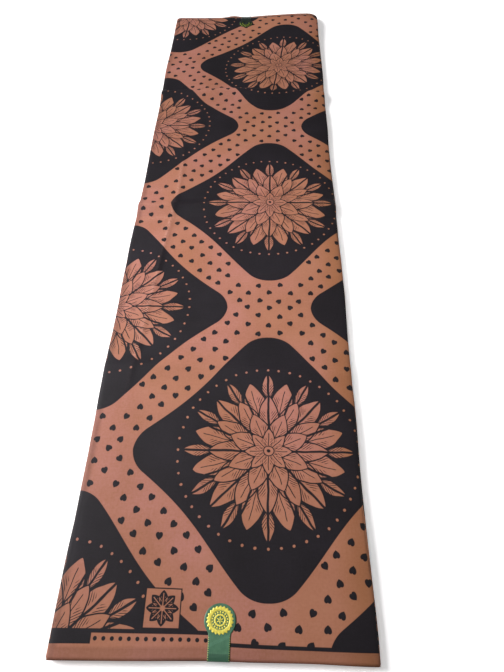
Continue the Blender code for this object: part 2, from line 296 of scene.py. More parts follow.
# %% Sides, corner and hanging selvedge
Ease = namedtuple("Ease", "run drop")
LEFT_EASE = Ease(run=0.010, drop=0.0010)
RIGHT_EASE = Ease(run=0.024, drop=0.0016)
SIDE_ROUND = Ease(run=0.0035, drop=0.0009)
NEAR_EASE = Ease(run=0.004, drop=0.0006)
NEAR_TROUGH = Ease(run=0.0030, drop=0.00045)
NEAR_TROUGH_AT = 0.0062
CORNER_LIFT = 0.0066
LIFT_FROM_ACROSS = 0.130
LIFT_FULL_ACROSS = 0.275
LIFT_FROM_ALONG = 1.010
TIP_DROOP = Ease(run=0.018, drop=0.0040)
FLAP_SLOPE_LEFT = 0.44
FLAP_SLOPE_RIGHT = 0.27
FLAP_TURNS_FROM = 0.080
FLAP_TURNS_TO = 0.200
FLAP_BEND_RUN = 0.005
FLAP_BUMP_AT = 0.124
FLAP_BUMP_RUN = 0.016
FLAP_BUMP_SHARE = 0.50


def eased(distance, ease):
    """A drop times the square of how far a place lies into the ease's run."""
    return ease.drop * np.clip(1.0 - distance / ease.run, 0.0, 1.0) ** 2


def side_ease(s):
    """The cloth sinks towards both folds, by a long ease at each and a short round one at both."""
    right = STRIP_WIDTH - s
    return eased(s, LEFT_EASE) + eased(right, RIGHT_EASE) + eased(np.minimum(s, right), SIDE_ROUND)


def near_ease(t):
    """The near selvedge rolls over, behind a shallow trough, which is a bell."""
    return eased(t, NEAR_EASE) + NEAR_TROUGH.drop * hump(t - NEAR_TROUGH_AT, NEAR_TROUGH.run)


def corner_lift(s, t):
    """A rise that is one S across times another along, less a droop at the corner's very tip."""
    lift = smooth_step(s, LIFT_FROM_ACROSS, LIFT_FULL_ACROSS)
    lift = lift * smooth_step(t, LIFT_FROM_ALONG, CLOTH_LENGTH)
    at_end = smooth_step(t, PACK_LENGTH - TIP_DROOP.run, CLOTH_LENGTH)
    return CORNER_LIFT * lift - eased(STRIP_WIDTH - s, TIP_DROOP) * at_end


def flap_droop(s, t):
    """Past the pack's end the cloth bends down to a slope, and the slope is flatter on the right."""
    past = np.clip(t - PACK_LENGTH, 0.0, None)
    turned = smooth_step(s, FLAP_TURNS_FROM, FLAP_TURNS_TO)
    slope = FLAP_SLOPE_LEFT + (FLAP_SLOPE_RIGHT - FLAP_SLOPE_LEFT) * turned
    slope = slope * (1.0 - FLAP_BUMP_SHARE * hump(s - FLAP_BUMP_AT, FLAP_BUMP_RUN))
    return slope * past**2 / (past + FLAP_BEND_RUN)


def cloth_height(s, t):
    """Height of the cloth's upper face: the pack's height and all the soft shapes added up."""
    raised = crease_height(s, t) + long_crease_height(s, t) + corner_lift(s, t) + crinkle_height(s, t)
    return PACK_HEIGHT + raised - side_ease(s) - near_ease(t) - flap_droop(s, t)


print("height in mm at the lifted corner:", round(1000.0 * float(cloth_height(0.28, 1.17)), 1))

# %% Places in the world
LEFT_SWAY = (Wave(height=0.0008, length=0.61, phase=0.6), Wave(height=-0.0006, length=0.23, phase=0.0))
RIGHT_SWAY = (Wave(height=0.0007, length=0.52, phase=2.1), Wave(height=0.0005, length=0.19, phase=0.0))
NEAR_RIPPLE = Wave(height=0.0002, length=0.11, phase=0.0)
Drawn = namedtuple("Drawn", "amount start full")
NEAR_DRAWN_IN = Drawn(amount=0.0024, start=0.02, full=0.16)
NEAR_EVENED_OUT = Drawn(amount=0.0010, start=0.17, full=0.30)
NEAR_SWAY_ENDS = 0.06


def near_sway(s):
    """The near selvedge is drawn in from the left to past the middle, and less at the right."""
    drawn, evened = (
        part.amount * smooth_step(s, part.start, part.full) for part in (NEAR_DRAWN_IN, NEAR_EVENED_OUT)
    )
    return drawn - evened + waves(s, NEAR_RIPPLE)


def placed(s, t, z):
    """Cloth sizes to world points. Both folds and the near selvedge wander by a millimetre or two."""
    share = s / STRIP_WIDTH
    x = s + waves(t, *LEFT_SWAY) * (1.0 - share) + waves(t, *RIGHT_SWAY) * share - 0.5 * STRIP_WIDTH
    y = t + near_sway(s) * (1.0 - smooth_step(t, 0.0, NEAR_SWAY_ENDS)) - 0.5 * CLOTH_LENGTH
    return np.stack(np.broadcast_arrays(x, y, z), axis=-1)


print("near selvedge drawn in by, in mm:", np.round(1000.0 * near_sway(np.array([0.0, 0.16, 0.30])), 1))

# %% [markdown]
# ## From a grid of points to a mesh
#
# Each surface is a grid of points with rows along the strip and columns across it. Filling the
# mesh with foreach_set takes whole arrays at once. Rows crowd together where the cloth bends, so
# that flat stretches cost few faces: the spacing comes from adding up a density along the strip.

# %% Grid helpers
FINE_STATIONS = 4000
SEAM = 1e-7


def grid_mesh(name, points, flat):
    """A mesh object from a grid of points, with the UV map `flat` from a grid of flat sizes."""
    rows, columns = points.shape[:2]
    corner = np.arange(rows - 1)[:, None] * columns + np.arange(columns - 1)
    quads = np.stack([corner, corner + 1, corner + columns + 1, corner + columns], axis=-1)
    loops = quads.reshape(-1).astype(np.int32)
    mesh = bpy.data.meshes.new(name)
    mesh.vertices.add(rows * columns)
    mesh.vertices.foreach_set("co", points.reshape(-1).astype(np.float32))
    mesh.loops.add(len(loops))
    mesh.loops.foreach_set("vertex_index", loops)
    mesh.polygons.add(len(loops) // 4)
    mesh.polygons.foreach_set("loop_start", np.arange(0, len(loops), 4, dtype=np.int32))
    mesh.update(calc_edges=True)
    layer = mesh.uv_layers.new(name="flat")
    layer.data.foreach_set("uv", flat.reshape(-1, 2)[loops].reshape(-1).astype(np.float32))
    mesh.shade_smooth()
    thing = bpy.data.objects.new(name, mesh)
    bpy.context.scene.collection.objects.link(thing)
    return thing


def crowded(end, count, places, run, extra):
    """`count` stations from 0 to an end, closer by 1 + extra near each place, within its run."""
    fine = np.linspace(0.0, end, FINE_STATIONS)
    density = np.ones_like(fine)
    for place in places:
        density += extra * hump(fine - place, run)
    total = np.cumsum(density)
    total = (total - total[0]) / (total[-1] - total[0])
    return np.interp(np.linspace(0.0, 1.0, count), total, fine)


def close_seams(piece):
    """Merge points that lie on each other, so poles and seams are closed."""
    work = bmesh.new()
    work.from_mesh(piece.data)
    bmesh.ops.remove_doubles(work, verts=work.verts, dist=SEAM)
    work.to_mesh(piece.data)
    work.free()


def add_thickness(piece, thickness):
    """A wall of the given thickness, half on each side of the sheet."""
    wall = piece.modifiers.new("thickness", "SOLIDIFY")
    wall.thickness = thickness
    wall.offset = 0.0
    wall.use_even_offset = False


def add_attribute(piece, name, values):
    """A number for each point of a piece, which its material reads."""
    attribute = piece.data.attributes.new(name, "FLOAT", "POINT")
    attribute.data.foreach_set("value", values.reshape(-1).astype(np.float32))


# %% [markdown]
# ## Plaiting the cloth
#
# One sheet goes to and fro from side to side. A column of the grid is one place on that path: its
# level in the stack, its share of the way across, and how far it swings out at a fold. The height
# of a level is its share of the cloth's height there, so every layer follows the ridges, less and
# less towards the flat underside. Each fold and each selvedge stands in or out by its own amount,
# because a folded pack is never square at its edges. The top layer is a piece of its own, with a
# finer grid, and the seventeen layers under it are another.

# %% The path across the layers
TOP_LEVEL = LAYERS
LEVEL_SPACING = 1.0 / (LAYERS + 0.5)
FOLD_STEPS = 6
FOLD_SWING = 0.00042
Path = namedtuple("Path", "level share swing flat")


def straight(level, start, end, count, edge_power=1.0):
    """Columns on one level, from one share of the width to another, crowded at both folds."""
    even = np.linspace(-1.0, 1.0, count)
    spread = np.sign(even) * (1.0 - (1.0 - np.abs(even)) ** edge_power)
    share = start + (end - start) * 0.5 * (1.0 + spread)
    return np.full(count, float(level)), share, np.zeros(count)


def turn(level_from, level_to, side):
    """Columns round a fold: half a circle from one level to the next, swinging out at its side."""
    angle = np.linspace(0.0, math.pi, FOLD_STEPS + 2)[1:-1]
    level = level_from + (level_to - level_from) * 0.5 * (1.0 - np.cos(angle))
    share = np.full(FOLD_STEPS, 0.5 + 0.5 * side)
    return level, share, side * np.sin(angle)


def join(stretches):
    """One path from several stretches, with the distance along the flat cloth at each column."""
    level, share, swing = (np.concatenate(column) for column in zip(*stretches))
    pitch = PACK_HEIGHT * LEVEL_SPACING
    steps = np.hypot(np.diff(share * STRIP_WIDTH + swing * FOLD_SWING), np.diff(level) * pitch)
    return Path(level, share, swing, np.concatenate([[0.0], np.cumsum(steps)]))


# %% How far folds and selvedges stand in
FOLD_INSET = 0.0006
FOLD_RAGGED = 0.0006
SLOW_SHARE = 0.6
SLOW_LENGTH = 0.41
SLOW_LENGTH_SPREAD = 0.03
SLOW_STEP = 0.37
QUICK_LENGTH = 0.117
QUICK_STEP = 0.23
QUICK_SIDE_STEP = 0.3
SHOULDER_RADIUS = 0.003
SHOULDER_SHARE = 0.35
SHOULDER_BEND = 0.9
FOLD_WEAR = 0.35
NEAR_INSET = (0.0, 0.0012, 0.0022, 0.0015, 0.0027, 0.0019, 0.0012, 0.0024, 0.0031, 0.0020)
NEAR_RAGGED = 0.0003
NEAR_RAGGED_LENGTH = 0.17
NEAR_RAGGED_STEP = 0.41
FAR_INSET = 0.0095
FAR_STAGGER = 0.011
FAR_RAGGED = 0.0010
FAR_RAGGED_STEP = 2.3
FAR_RIPPLE = Wave(height=0.0006, length=0.2, phase=0.0)


def fold_inset(level, side, t):
    """How far the fold at this level stands in from the strip's side, each pair in its own way."""
    pair = np.floor((level + (0.0 if side > 0 else 1.0)) / 2.0)
    slow = np.sin(math.tau * (t / (SLOW_LENGTH + SLOW_LENGTH_SPREAD * side) + SLOW_STEP * pair))
    quick = np.sin(math.tau * (t / QUICK_LENGTH + QUICK_STEP * pair * pair + QUICK_SIDE_STEP * side))
    below_top = (TOP_LEVEL - level) * LEVEL_SPACING * PACK_HEIGHT
    depth = np.clip(1.0 - below_top / SHOULDER_RADIUS, 0.0, 1.0)
    shoulder = SHOULDER_SHARE * SHOULDER_RADIUS * (1.0 - np.sqrt(1.0 - SHOULDER_BEND * depth**2))
    return FOLD_INSET + FOLD_RAGGED * (SLOW_SHARE * slow + (1.0 - SLOW_SHARE) * quick) + shoulder


def selvedge_span(level, s):
    """Where each level's near and far selvedge lies: a few millimetres in, and shingled far off."""
    depth = TOP_LEVEL - level
    below = np.clip(depth, 0.0, 1.0)
    numbers = np.arange(len(NEAR_INSET))
    ragged = np.sin(math.tau * (s / NEAR_RAGGED_LENGTH + NEAR_RAGGED_STEP * level))
    near = np.interp(depth % float(numbers[-1]), numbers, NEAR_INSET) + NEAR_RAGGED * ragged
    stagger = FAR_STAGGER * np.clip(depth - 1.0, 0.0, None) / (TOP_LEVEL - 1.0)
    short = FAR_INSET + stagger + FAR_RAGGED * np.sin(FAR_RAGGED_STEP * level) + waves(s, FAR_RIPPLE)
    return near * below, CLOTH_LENGTH - short * below


def plaited_sheet(name, path, rows):
    """The sheet over a path and rows along: level share of the height, swung out at the folds."""
    level, share = path.level[None, :], path.share[None, :]
    along = rows[:, None]
    left = fold_inset(level, -1, along * CLOTH_LENGTH)
    right = fold_inset(level, 1, along * CLOTH_LENGTH)
    s = left + share * (STRIP_WIDTH - left - right) + path.swing[None, :] * FOLD_SWING
    near, far = selvedge_span(level, s)
    t = near + along * (far - near)
    upper = cloth_height(np.clip(s, 0.0, STRIP_WIDTH), t) - 0.5 * CLOTH_THICKNESS
    z = upper * (level + 0.5) * LEVEL_SPACING
    flat = np.stack(np.broadcast_arrays(path.flat[None, :], along * CLOTH_LENGTH), axis=-1)
    piece = grid_mesh(name, placed(s, t, z), flat)
    # Crests and folds are rubbed paler as wear; on the crests the paler line is also a painted highlight
    wear_and_highlight = np.clip(crease_wear_and_highlight(s, t) + np.abs(path.swing) * FOLD_WEAR, 0.0, 1.0)
    add_attribute(piece, "crease", np.broadcast_to(wear_and_highlight, z.shape))
    add_thickness(piece, CLOTH_THICKNESS)
    return piece


# %% The top layer
TOP_ROWS = 468
TOP_COLUMNS = 84
HEM_SHARE = 0.05
HEM_COLUMNS = 3
BUSY_SHARES = (0.0, 0.15, 1.0)
ridges = [crease.along for crease in CREASES]


def top_path():
    """From the hem tucked in at the right, over the top, round the left fold and under again."""
    hem = straight(TOP_LEVEL - 1, 1.0 - HEM_SHARE, 1.0, HEM_COLUMNS)
    shares = crowded(1.0, TOP_COLUMNS, BUSY_SHARES, run=0.05, extra=1.6)[::-1]
    over = (np.full(TOP_COLUMNS, float(TOP_LEVEL)), shares, np.zeros(TOP_COLUMNS))
    under = straight(TOP_LEVEL - 1, 0.0, HEM_SHARE, HEM_COLUMNS)
    folds = (turn(TOP_LEVEL - 1, TOP_LEVEL, 1.0), turn(TOP_LEVEL, TOP_LEVEL - 1, -1.0))
    return join([hem, folds[0], over, folds[1], under])


places = [*ridges, PACK_LENGTH, CLOTH_LENGTH]
rows = crowded(CLOTH_LENGTH, TOP_ROWS, places, run=0.03, extra=0.8) / CLOTH_LENGTH
path = top_path()
left_fold = path.flat[HEM_COLUMNS + FOLD_STEPS + TOP_COLUMNS - 1]
path = path._replace(flat=left_fold - path.flat)
printed_top = plaited_sheet("printed_top", path, rows)

# %% The seventeen layers under it
UNDER_ROWS = 96
UNDER_COLUMNS = 17
UNDER_EDGE_POWER = 1.9


def under_path():
    """To and fro from level 16 down to level 0, with a fold at alternate sides."""
    stretches = [straight(TOP_LEVEL - 2, HEM_SHARE, 1.0, UNDER_COLUMNS, UNDER_EDGE_POWER)]
    side = 1.0
    for level in range(TOP_LEVEL - 3, -1, -1):
        stretches.append(turn(level + 1, level, side))
        start = 0.5 + 0.5 * side
        stretches.append(straight(level, start, 1.0 - start, UNDER_COLUMNS, UNDER_EDGE_POWER))
        side = -side
    return join(stretches)


places = [0.0, *ridges, CLOTH_LENGTH]
rows = crowded(CLOTH_LENGTH, UNDER_ROWS, places, run=0.04, extra=1.6) / CLOTH_LENGTH
path = under_path()
path = path._replace(flat=-HEM_SHARE * STRIP_WIDTH - path.flat)
plaited_layers = plaited_sheet("plaited_layers", path, rows)

# %% [markdown]
# ## Ribbons
#
# A strip of thin green satin with a round head is stuck on each selvedge and turned down over it.
# It follows the cloth, so each of its points takes the cloth's height and adds a little. Rows run
# from the head's tip along the ribbon, round the bend and down. The half width of a row is the
# circle's chord or the ribbon's own half width, whichever is larger, with a soft neck between.

# %% Label sizes
RIBBON_HALF_WIDTH = 0.01025
RIBBON_THICKNESS = 0.0002
RIBBON_LIFT = 0.0003
RIBBON_FLOOR_GAP = 0.0008
RIBBON_BEND = 0.0006
HEAD_RADIUS = 0.015
NECK_SOFTNESS = 0.0012
RIBBON_COLUMNS = 25
TIP_ANGLE = 0.06
HEAD_ROWS = 40
TAIL_ROWS = 25
BEND_ROWS = 8
DROP_ROWS = 8
Label = namedtuple("Label", "name across along way edge shade")
# A label's shade says how far painted shade darkens its ribbon: the far ribbon is nearly black
NEAR_LABEL = Label(name="near_label", across=0.158, along=0.0337, way=-1.0, edge=0.0, shade=0.0)
FAR_LABEL = Label(name="far_label", across=0.151, along=1.1550, way=1.0, edge=CLOTH_LENGTH, shade=0.97)


def ribbon_rows(reach):
    """Rows of a ribbon: distance from the head's middle, angle of the bend, share of the drop."""
    open_angle = math.pi - math.asin(RIBBON_HALF_WIDTH / HEAD_RADIUS)
    head = -HEAD_RADIUS * np.cos(np.linspace(TIP_ANGLE, open_angle, HEAD_ROWS))
    tail = np.linspace(head[-1], reach, TAIL_ROWS + 1)[1:]
    bend = np.linspace(0.0, 0.5 * math.pi, BEND_ROWS + 1)[1:]
    drop = np.linspace(0.0, 1.0, DROP_ROWS + 1)[1:]
    flat = np.concatenate([head, tail, np.full(BEND_ROWS + DROP_ROWS, reach)])
    still = np.zeros(HEAD_ROWS + TAIL_ROWS)
    turned = np.concatenate([still, bend, np.full(DROP_ROWS, bend[-1])])
    dropped = np.concatenate([still, np.zeros(BEND_ROWS), drop])
    return flat, turned, dropped


def half_width_at(distance):
    """The larger of the head's chord and the ribbon's half width, rounded off where they meet."""
    chord = np.sqrt(np.clip(HEAD_RADIUS**2 - distance**2, 0.0, None))
    ribbon = np.where(distance > 0.0, RIBBON_HALF_WIDTH, 0.0)
    soft = np.where(distance > 0.0, NECK_SOFTNESS, 0.0)
    return 0.5 * (chord + ribbon + np.sqrt((chord - ribbon) ** 2 + soft**2))


def add_ribbon(label):
    """Lay the ribbon on the cloth, round the selvedge and down to just above the floor."""
    reach = abs(label.edge - label.along)
    flat, turned, dropped = (row[:, None] for row in ribbon_rows(reach))
    aside = np.linspace(-1.0, 1.0, RIBBON_COLUMNS)[None, :] * half_width_at(flat)
    s = label.across + aside
    t = label.along + label.way * flat
    top = cloth_height(s, t) + RIBBON_LIFT
    drop = dropped * (top - RIBBON_BEND - RIBBON_FLOOR_GAP)
    out = label.way * RIBBON_BEND * np.sin(turned)
    z = top - RIBBON_BEND * (1.0 - np.cos(turned)) - drop
    run = flat + RIBBON_BEND * turned + drop
    piece = grid_mesh(label.name + "_satin", placed(s, t + out, z), np.stack([aside, run], axis=-1))
    # The material reads this attribute to paint the ribbon darker as shade
    add_attribute(piece, "shade", np.full(z.shape, label.shade))
    add_thickness(piece, RIBBON_THICKNESS)
    return piece


near_ribbon = add_ribbon(NEAR_LABEL)
far_ribbon = add_ribbon(FAR_LABEL)
print("ribbon rows:", ribbon_rows(NEAR_LABEL.along)[0].size, "of", RIBBON_COLUMNS, "points")

# %% [markdown]
# ## Seals
#
# A stamped foil seal lies on each ribbon's head: a toothed rim, a band of beads between two
# rings, and a rosette. It is a disc of rings and spokes. The radius of the rim swings in and out
# once for each tooth, and the stamped relief is a sum of soft steps in the radius.

# %% Seal relief
SEAL_RADIUS = 0.0128
SEAL_LIFT = 0.00045
TEETH = 22
TOOTH_DEPTH = 0.095
TOOTH_POWER = 1.3
TOOTH_FROM = 0.74
SEAL_SPOKES = 264
BACK_SHARES = (0.0, 0.5, 0.9)
EDGE_SHARES = np.linspace(1.0, 0.93, 5)
FACE_SHARES = np.linspace(0.92, 0.0, 62)
RIM_INSIDE = 0.0089
BAND_OUTSIDE = 0.0083
BEADS_ON_SEAL = 18
BEAD_AT = 0.00715
SEAL_BEAD_RADIUS = 0.00075
RING_OUTSIDE = 0.0056
RING_INSIDE = 0.0040
RING_TEETH = 16
RING_TOOTH = 0.0003
ROSETTE_PETALS = 6
ROSETTE_RADIUS = 0.0034
STAMP_SOFT = 0.00025
EDGE_FROM = 1.01 * SEAL_RADIUS
EDGE_FULL = 0.93 * SEAL_RADIUS
BASE_HEIGHT = 0.00006
RIM_HEIGHT = 0.00026
RIM_WAVE = 0.00004
BEAD_HEIGHT = 0.00020
ROSETTE_HEIGHT = 0.00028


def step_up(radius, place):
    """0 inside a radius and 1 outside it, over the softness of the stamp."""
    return smooth_step(radius, place - STAMP_SOFT, place + STAMP_SOFT)


def seal_relief(radius, angle):
    """Height of the stamped face: rim and ring stand up, beads and rosette are small domes."""
    rim = step_up(radius, RIM_INSIDE) * (RIM_HEIGHT + RIM_WAVE * np.cos(TEETH * angle))
    ring_edge = RING_OUTSIDE + RING_TOOTH * np.cos(RING_TEETH * angle)
    ring = step_up(radius, RING_INSIDE) * (1.0 - step_up(radius, ring_edge)) * RIM_HEIGHT
    sector = math.tau / BEADS_ON_SEAL
    aside = (np.mod(angle + 0.5 * sector, sector) - 0.5 * sector) * radius
    bead = np.hypot(aside, radius - BEAD_AT) / SEAL_BEAD_RADIUS
    beads = BEAD_HEIGHT * np.clip(1.0 - bead**2, 0.0, 1.0)
    petal = 0.5 + 0.5 * np.cos(ROSETTE_PETALS * angle)
    dome = np.clip(1.0 - (radius / ROSETTE_RADIUS) ** 2, 0.0, 1.0)
    edge = smooth_step(radius, EDGE_FROM, EDGE_FULL)
    return (BASE_HEIGHT + rim + ring + beads + ROSETTE_HEIGHT * dome * petal) * edge


def add_seal(label):
    """A closed disc on the ribbon's head: its back from the middle out, then its face back in."""
    shares = np.concatenate([BACK_SHARES, EDGE_SHARES, FACE_SHARES])[:, None]
    is_face = (np.arange(len(shares)) >= len(BACK_SHARES))[:, None]
    angle = np.linspace(0.0, math.tau, SEAL_SPOKES + 1)[None, :]
    tooth = 0.5 - 0.5 * np.cos(TEETH * angle)
    inward = 1.0 - TOOTH_DEPTH * tooth**TOOTH_POWER * smooth_step(shares, TOOTH_FROM, 1.0)
    radius = SEAL_RADIUS * shares * inward
    x = radius * np.sin(angle)
    y = radius * np.cos(angle) * label.way
    s = label.across + x
    t = label.along + y
    z = cloth_height(s, t) + SEAL_LIFT + is_face * seal_relief(SEAL_RADIUS * shares, angle)
    flat = np.stack(np.broadcast_arrays(x, y), axis=-1)
    piece = grid_mesh(label.name + "_foil", placed(s, t, z), flat)
    close_seams(piece)
    if label.way > 0.0:
        piece.data.flip_normals()
    return piece


near_seal = add_seal(NEAR_LABEL)
far_seal = add_seal(FAR_LABEL)
print("seal faces:", len(near_seal.data.polygons))

# %% [markdown]
# ## Shader maths in plain signs
#
# A wax print is a drawing with firm edges, so it is worked out from distances: how deep a point
# lies inside a diamond, a petal or a bar. Such sums take many Math nodes. A small class keeps
# them readable: a sum or a product of two terms adds the node that works it out.

# %% Terms
INK_SOFT = 0.0002
INK_EDGE = 2.0 * INK_SOFT


def feed(tree, entries, values):
    """Put values into sockets by name, or link the terms and sockets that work them out."""
    for label, value in values.items():
        source = value.socket if isinstance(value, Term) else value
        if isinstance(source, bpy.types.NodeSocket):
            tree.links.new(source, entries[label])
        else:
            entries[label].default_value = source


def add_node(tree, kind, values, **settings):
    """A shader node of a kind, with its settings, and its sockets fed by name or number."""
    node = tree.nodes.new("ShaderNode" + kind)
    for name, value in settings.items():
        setattr(node, name, value)
    feed(tree, node.inputs, values)
    return node


class Term:
    """A number that nodes work out at each point of a surface."""

    def __init__(self, tree, socket):
        self.tree = tree
        self.socket = socket

    def math(self, operation, *others):
        """A Math node of this term and the others, which are terms or plain numbers."""
        values = dict(enumerate((self, *others)))
        return Term(self.tree, add_node(self.tree, "Math", values, operation=operation).outputs["Value"])

    __add__ = partialmethod(math, "ADD")
    __sub__ = partialmethod(math, "SUBTRACT")
    __mul__ = partialmethod(math, "MULTIPLY")
    __truediv__ = partialmethod(math, "DIVIDE")
    __pow__ = partialmethod(math, "POWER")
    __neg__ = partialmethod(math, "MULTIPLY", -1.0)
    __abs__ = partialmethod(math, "ABSOLUTE")

    def ramp(self, start, end, steps="LINEAR"):
        """0 where the term is at start, 1 at end, held beyond both, by a Map Range node."""
        values = {"Value": self, "From Min": start, "From Max": end}
        node = add_node(self.tree, "MapRange", values, interpolation_type=steps)
        return Term(self.tree, node.outputs["Result"])

    def cut(self, place=0.0, soft=INK_SOFT):
        """0 before a place, 1 after it, over a softness on both sides, usually that of ink."""
        return self.ramp(place - soft, place + soft)


def larger(first, second):
    """The larger of two terms: where masks meet, either one shows."""
    return first.math("MAXIMUM", second)


def smaller(first, second):
    """The smaller of two terms: where masks meet, both must hold."""
    return first.math("MINIMUM", second)


def invert(mask):
    """One less a mask."""
    return -mask + 1.0


def wrapped(term, period):
    """The term folded back into half a period on either side of 0."""
    half = period * 0.5
    return term.math("WRAP", half, -half)


def stripes(term, period, start, end):
    """Stripes of a sine with that period, cut by a ramp from one value of the sine to another."""
    return (term * (math.tau / period)).math("SINE").ramp(start, end)


def length(across, along):
    """The distance from 0: the root of the sum of both squares."""
    return (across * across + along * along).math("SQRT")


# %% Vectors and groups of nodes


def split_up(tree, kind, source):
    """The three parts of a vector or a colour, by the Separate node for XYZ or for Color."""
    node = add_node(tree, "Separate" + kind, {0: source})
    return [Term(tree, socket) for socket in node.outputs]


def flat_vector(tree, across, along):
    """A vector that lies flat, from two terms."""
    return add_node(tree, "CombineXYZ", {"X": across, "Y": along}).outputs["Vector"]


def named_terms(tree, sockets):
    """A term for each named socket, under its own name."""
    named = [socket for socket in sockets if socket.name]
    return namedtuple("Terms", [socket.name for socket in named])(*[Term(tree, end) for end in named])


def build_group(name, entries, work_out):
    """A shader node group whose named outputs are what a function works out from its inputs.

    Each entry has a number to start from, or None if it is a vector.
    """
    tree = bpy.data.node_groups.new(name, "ShaderNodeTree")
    for label, value in entries.items():
        kind = "NodeSocketVector" if value is None else "NodeSocketFloat"
        socket = tree.interface.new_socket(label, in_out="INPUT", socket_type=kind)
        if value is not None:
            socket.default_value = value
    exits = work_out(tree, named_terms(tree, tree.nodes.new("NodeGroupInput").outputs))
    for label in exits:
        tree.interface.new_socket(label, in_out="OUTPUT", socket_type="NodeSocketFloat")
    feed(tree, tree.nodes.new("NodeGroupOutput").inputs, exits)
    return tree


def place_group(tree, group, **entries):
    """A copy of a group in a tree, fed by name, and its outputs as terms, also by name."""
    return named_terms(tree, add_node(tree, "Group", entries, node_tree=group).outputs)


FLAT_PLACE = {"across": 0.0, "along": 0.0}
print("inputs of the print's groups:", list(FLAT_PLACE))

# %% [markdown]
# ## The print: black diamonds on a copper lattice
#
# The design is printed again and again, every 419 mm across the cloth and every 396 mm along it,
# with a second set half a step on in both directions. A diamond is a square stood on its corner:
# in directions turned by 45 degrees it becomes a box, and the depth inside a box with round
# corners is a known formula. Two slow waves along the flanks give the slight swing of a shape
# cut by hand.

# %% Diamonds
REPEAT_ACROSS = 0.419
REPEAT_ALONG = 0.396
MIDDLE_ACROSS = 0.2036
MIDDLE_ALONG = 0.2004
HALF_ACROSS = 0.166
HALF_ALONG = 0.162
CORNER_ROUND = 0.037
FLANK_SWING = 0.0025
FLANK_WAIST = 0.0038
FAR_DRIFT = 0.033
DRIFT_FROM = 0.80
DRIFT_TO = 1.18


def diamond_depth(across, along):
    """Depth inside one diamond from its middle: box distance in turned directions, and waves."""
    side = HALF_ACROSS / math.sqrt(2.0)
    x = abs(across)
    y = abs(along) * (HALF_ACROSS / HALF_ALONG)
    outward = (x + y) / math.sqrt(2.0)
    sideways = (x - y) / math.sqrt(2.0)
    past = outward - (side - CORNER_ROUND)
    beside = abs(sideways) - (side - CORNER_ROUND)
    corner = length(larger(past, 0.0), larger(beside, 0.0))
    outside = corner + smaller(larger(past, beside), 0.0) - CORNER_ROUND
    turn_share = sideways * (math.pi / side)
    swing = turn_share.math("SINE") * FLANK_SWING + turn_share.math("COSINE") * FLANK_WAIST
    return -(outside + swing)


def drift_at(along):
    """How far the print stands to the side at the far end: its most, times an even S."""
    return along.ramp(DRIFT_FROM, DRIFT_TO, "SMOOTHSTEP") * FAR_DRIFT


def diamonds(tree, entry):
    """How deep a point lies in the nearest black diamond, and its place from the middle there."""
    drift = drift_at(entry.along)
    sets = []
    for step in (0.0, 0.5):
        across = wrapped(entry.across - drift - (MIDDLE_ACROSS + step * REPEAT_ACROSS), REPEAT_ACROSS)
        along = wrapped(entry.along - (MIDDLE_ALONG + step * REPEAT_ALONG), REPEAT_ALONG)
        sets.append((diamond_depth(across, along), across, along))
    (first, *first_place), (second, *second_place) = sets
    in_first = first.math("GREATER_THAN", second)
    across, along = (
        one * in_first + other * invert(in_first) for one, other in zip(first_place, second_place)
    )
    return {"depth": larger(first, second), "from_middle": across, "past_middle": along}


DIAMONDS = build_group("print diamonds", FLAT_PLACE, diamonds)
print("diamond, across by along in mm:", 2000.0 * HALF_ACROSS, 2000.0 * HALF_ALONG)

# %% [markdown]
# ## Hearts on the lattice
#
# Small hearts lie three deep along each copper band. Their places form a net that divides the
# big repeat by fifteen, so it fits all bands alike. Each point finds its nearest place by
# rounding, and the depth of that place inside a black diamond says whether a heart is printed.
# A heart is a circle whose height is pulled up by the root of the distance from its middle line.

# %% Hearts
HEARTS_IN_REPEAT = 15
HEART_HALF_WIDTH = 0.0037
HEART_CLEFT = 0.60
CLEFT_ROUND = 0.03
HEART_SQUASH = 1.02
HEART_DROP = 0.08
HEART_CLEAR = 0.0056
HEART_WANDER = 0.0017
HEART_TURN = 1.6
HEARTS_UPRIGHT = 0.45


def cell_random(tree, one, other, count):
    """Three random numbers for a place in the net, the same again after each whole repeat."""
    one, other = (number.math("FLOORED_MODULO", float(count)) for number in (one, other))
    values = {"Vector": flat_vector(tree, one, other)}
    noise = add_node(tree, "TexWhiteNoise", values, noise_dimensions="3D")
    return split_up(tree, "Color", noise.outputs["Color"])


def hearts(tree, entry):
    """1 inside a printed heart. Nearest place by rounding, then turn, then the curve."""
    net_across = REPEAT_ACROSS / HEARTS_IN_REPEAT
    net_along = REPEAT_ALONG / HEARTS_IN_REPEAT
    drift = drift_at(entry.along)
    across = (entry.across - drift - (MIDDLE_ACROSS + 0.5 * REPEAT_ACROSS)) / net_across
    along = (entry.along - MIDDLE_ALONG) / net_along
    one = (across + along).math("ROUND")
    other = (across - along).math("ROUND")
    middle_across = (one + other) * 0.5
    middle_along = (one - other) * 0.5
    dice = cell_random(tree, one, other, HEARTS_IN_REPEAT)
    x = (across - middle_across) * net_across + (dice[0] - 0.5) * (2.0 * HEART_WANDER)
    y = (along - middle_along) * net_along + (dice[1] - 0.5) * (2.0 * HEART_WANDER)
    flip = dice[2].math("GREATER_THAN", HEARTS_UPRIGHT) * math.pi
    angle = flip + (dice[1] - 0.5) * HEART_TURN
    cosine = angle.math("COSINE")
    sine = angle.math("SINE")
    turned_x = (x * cosine - y * sine) / HEART_HALF_WIDTH
    turned_y = (x * sine + y * cosine) / HEART_HALF_WIDTH
    cleft = (abs(turned_x) + CLEFT_ROUND).math("SQRT") * HEART_CLEFT
    pulled = turned_y * HEART_SQUASH + HEART_DROP - cleft
    inside = (-length(turned_x, pulled) + 1.0) * HEART_HALF_WIDTH
    diamond = place_group(
        tree,
        DIAMONDS,
        across=middle_across * net_across + drift + (MIDDLE_ACROSS + 0.5 * REPEAT_ACROSS),
        along=middle_along * net_along + MIDDLE_ALONG,
    )
    return {"hearts": inside.cut() * diamond.depth.math("LESS_THAN", -HEART_CLEAR)}


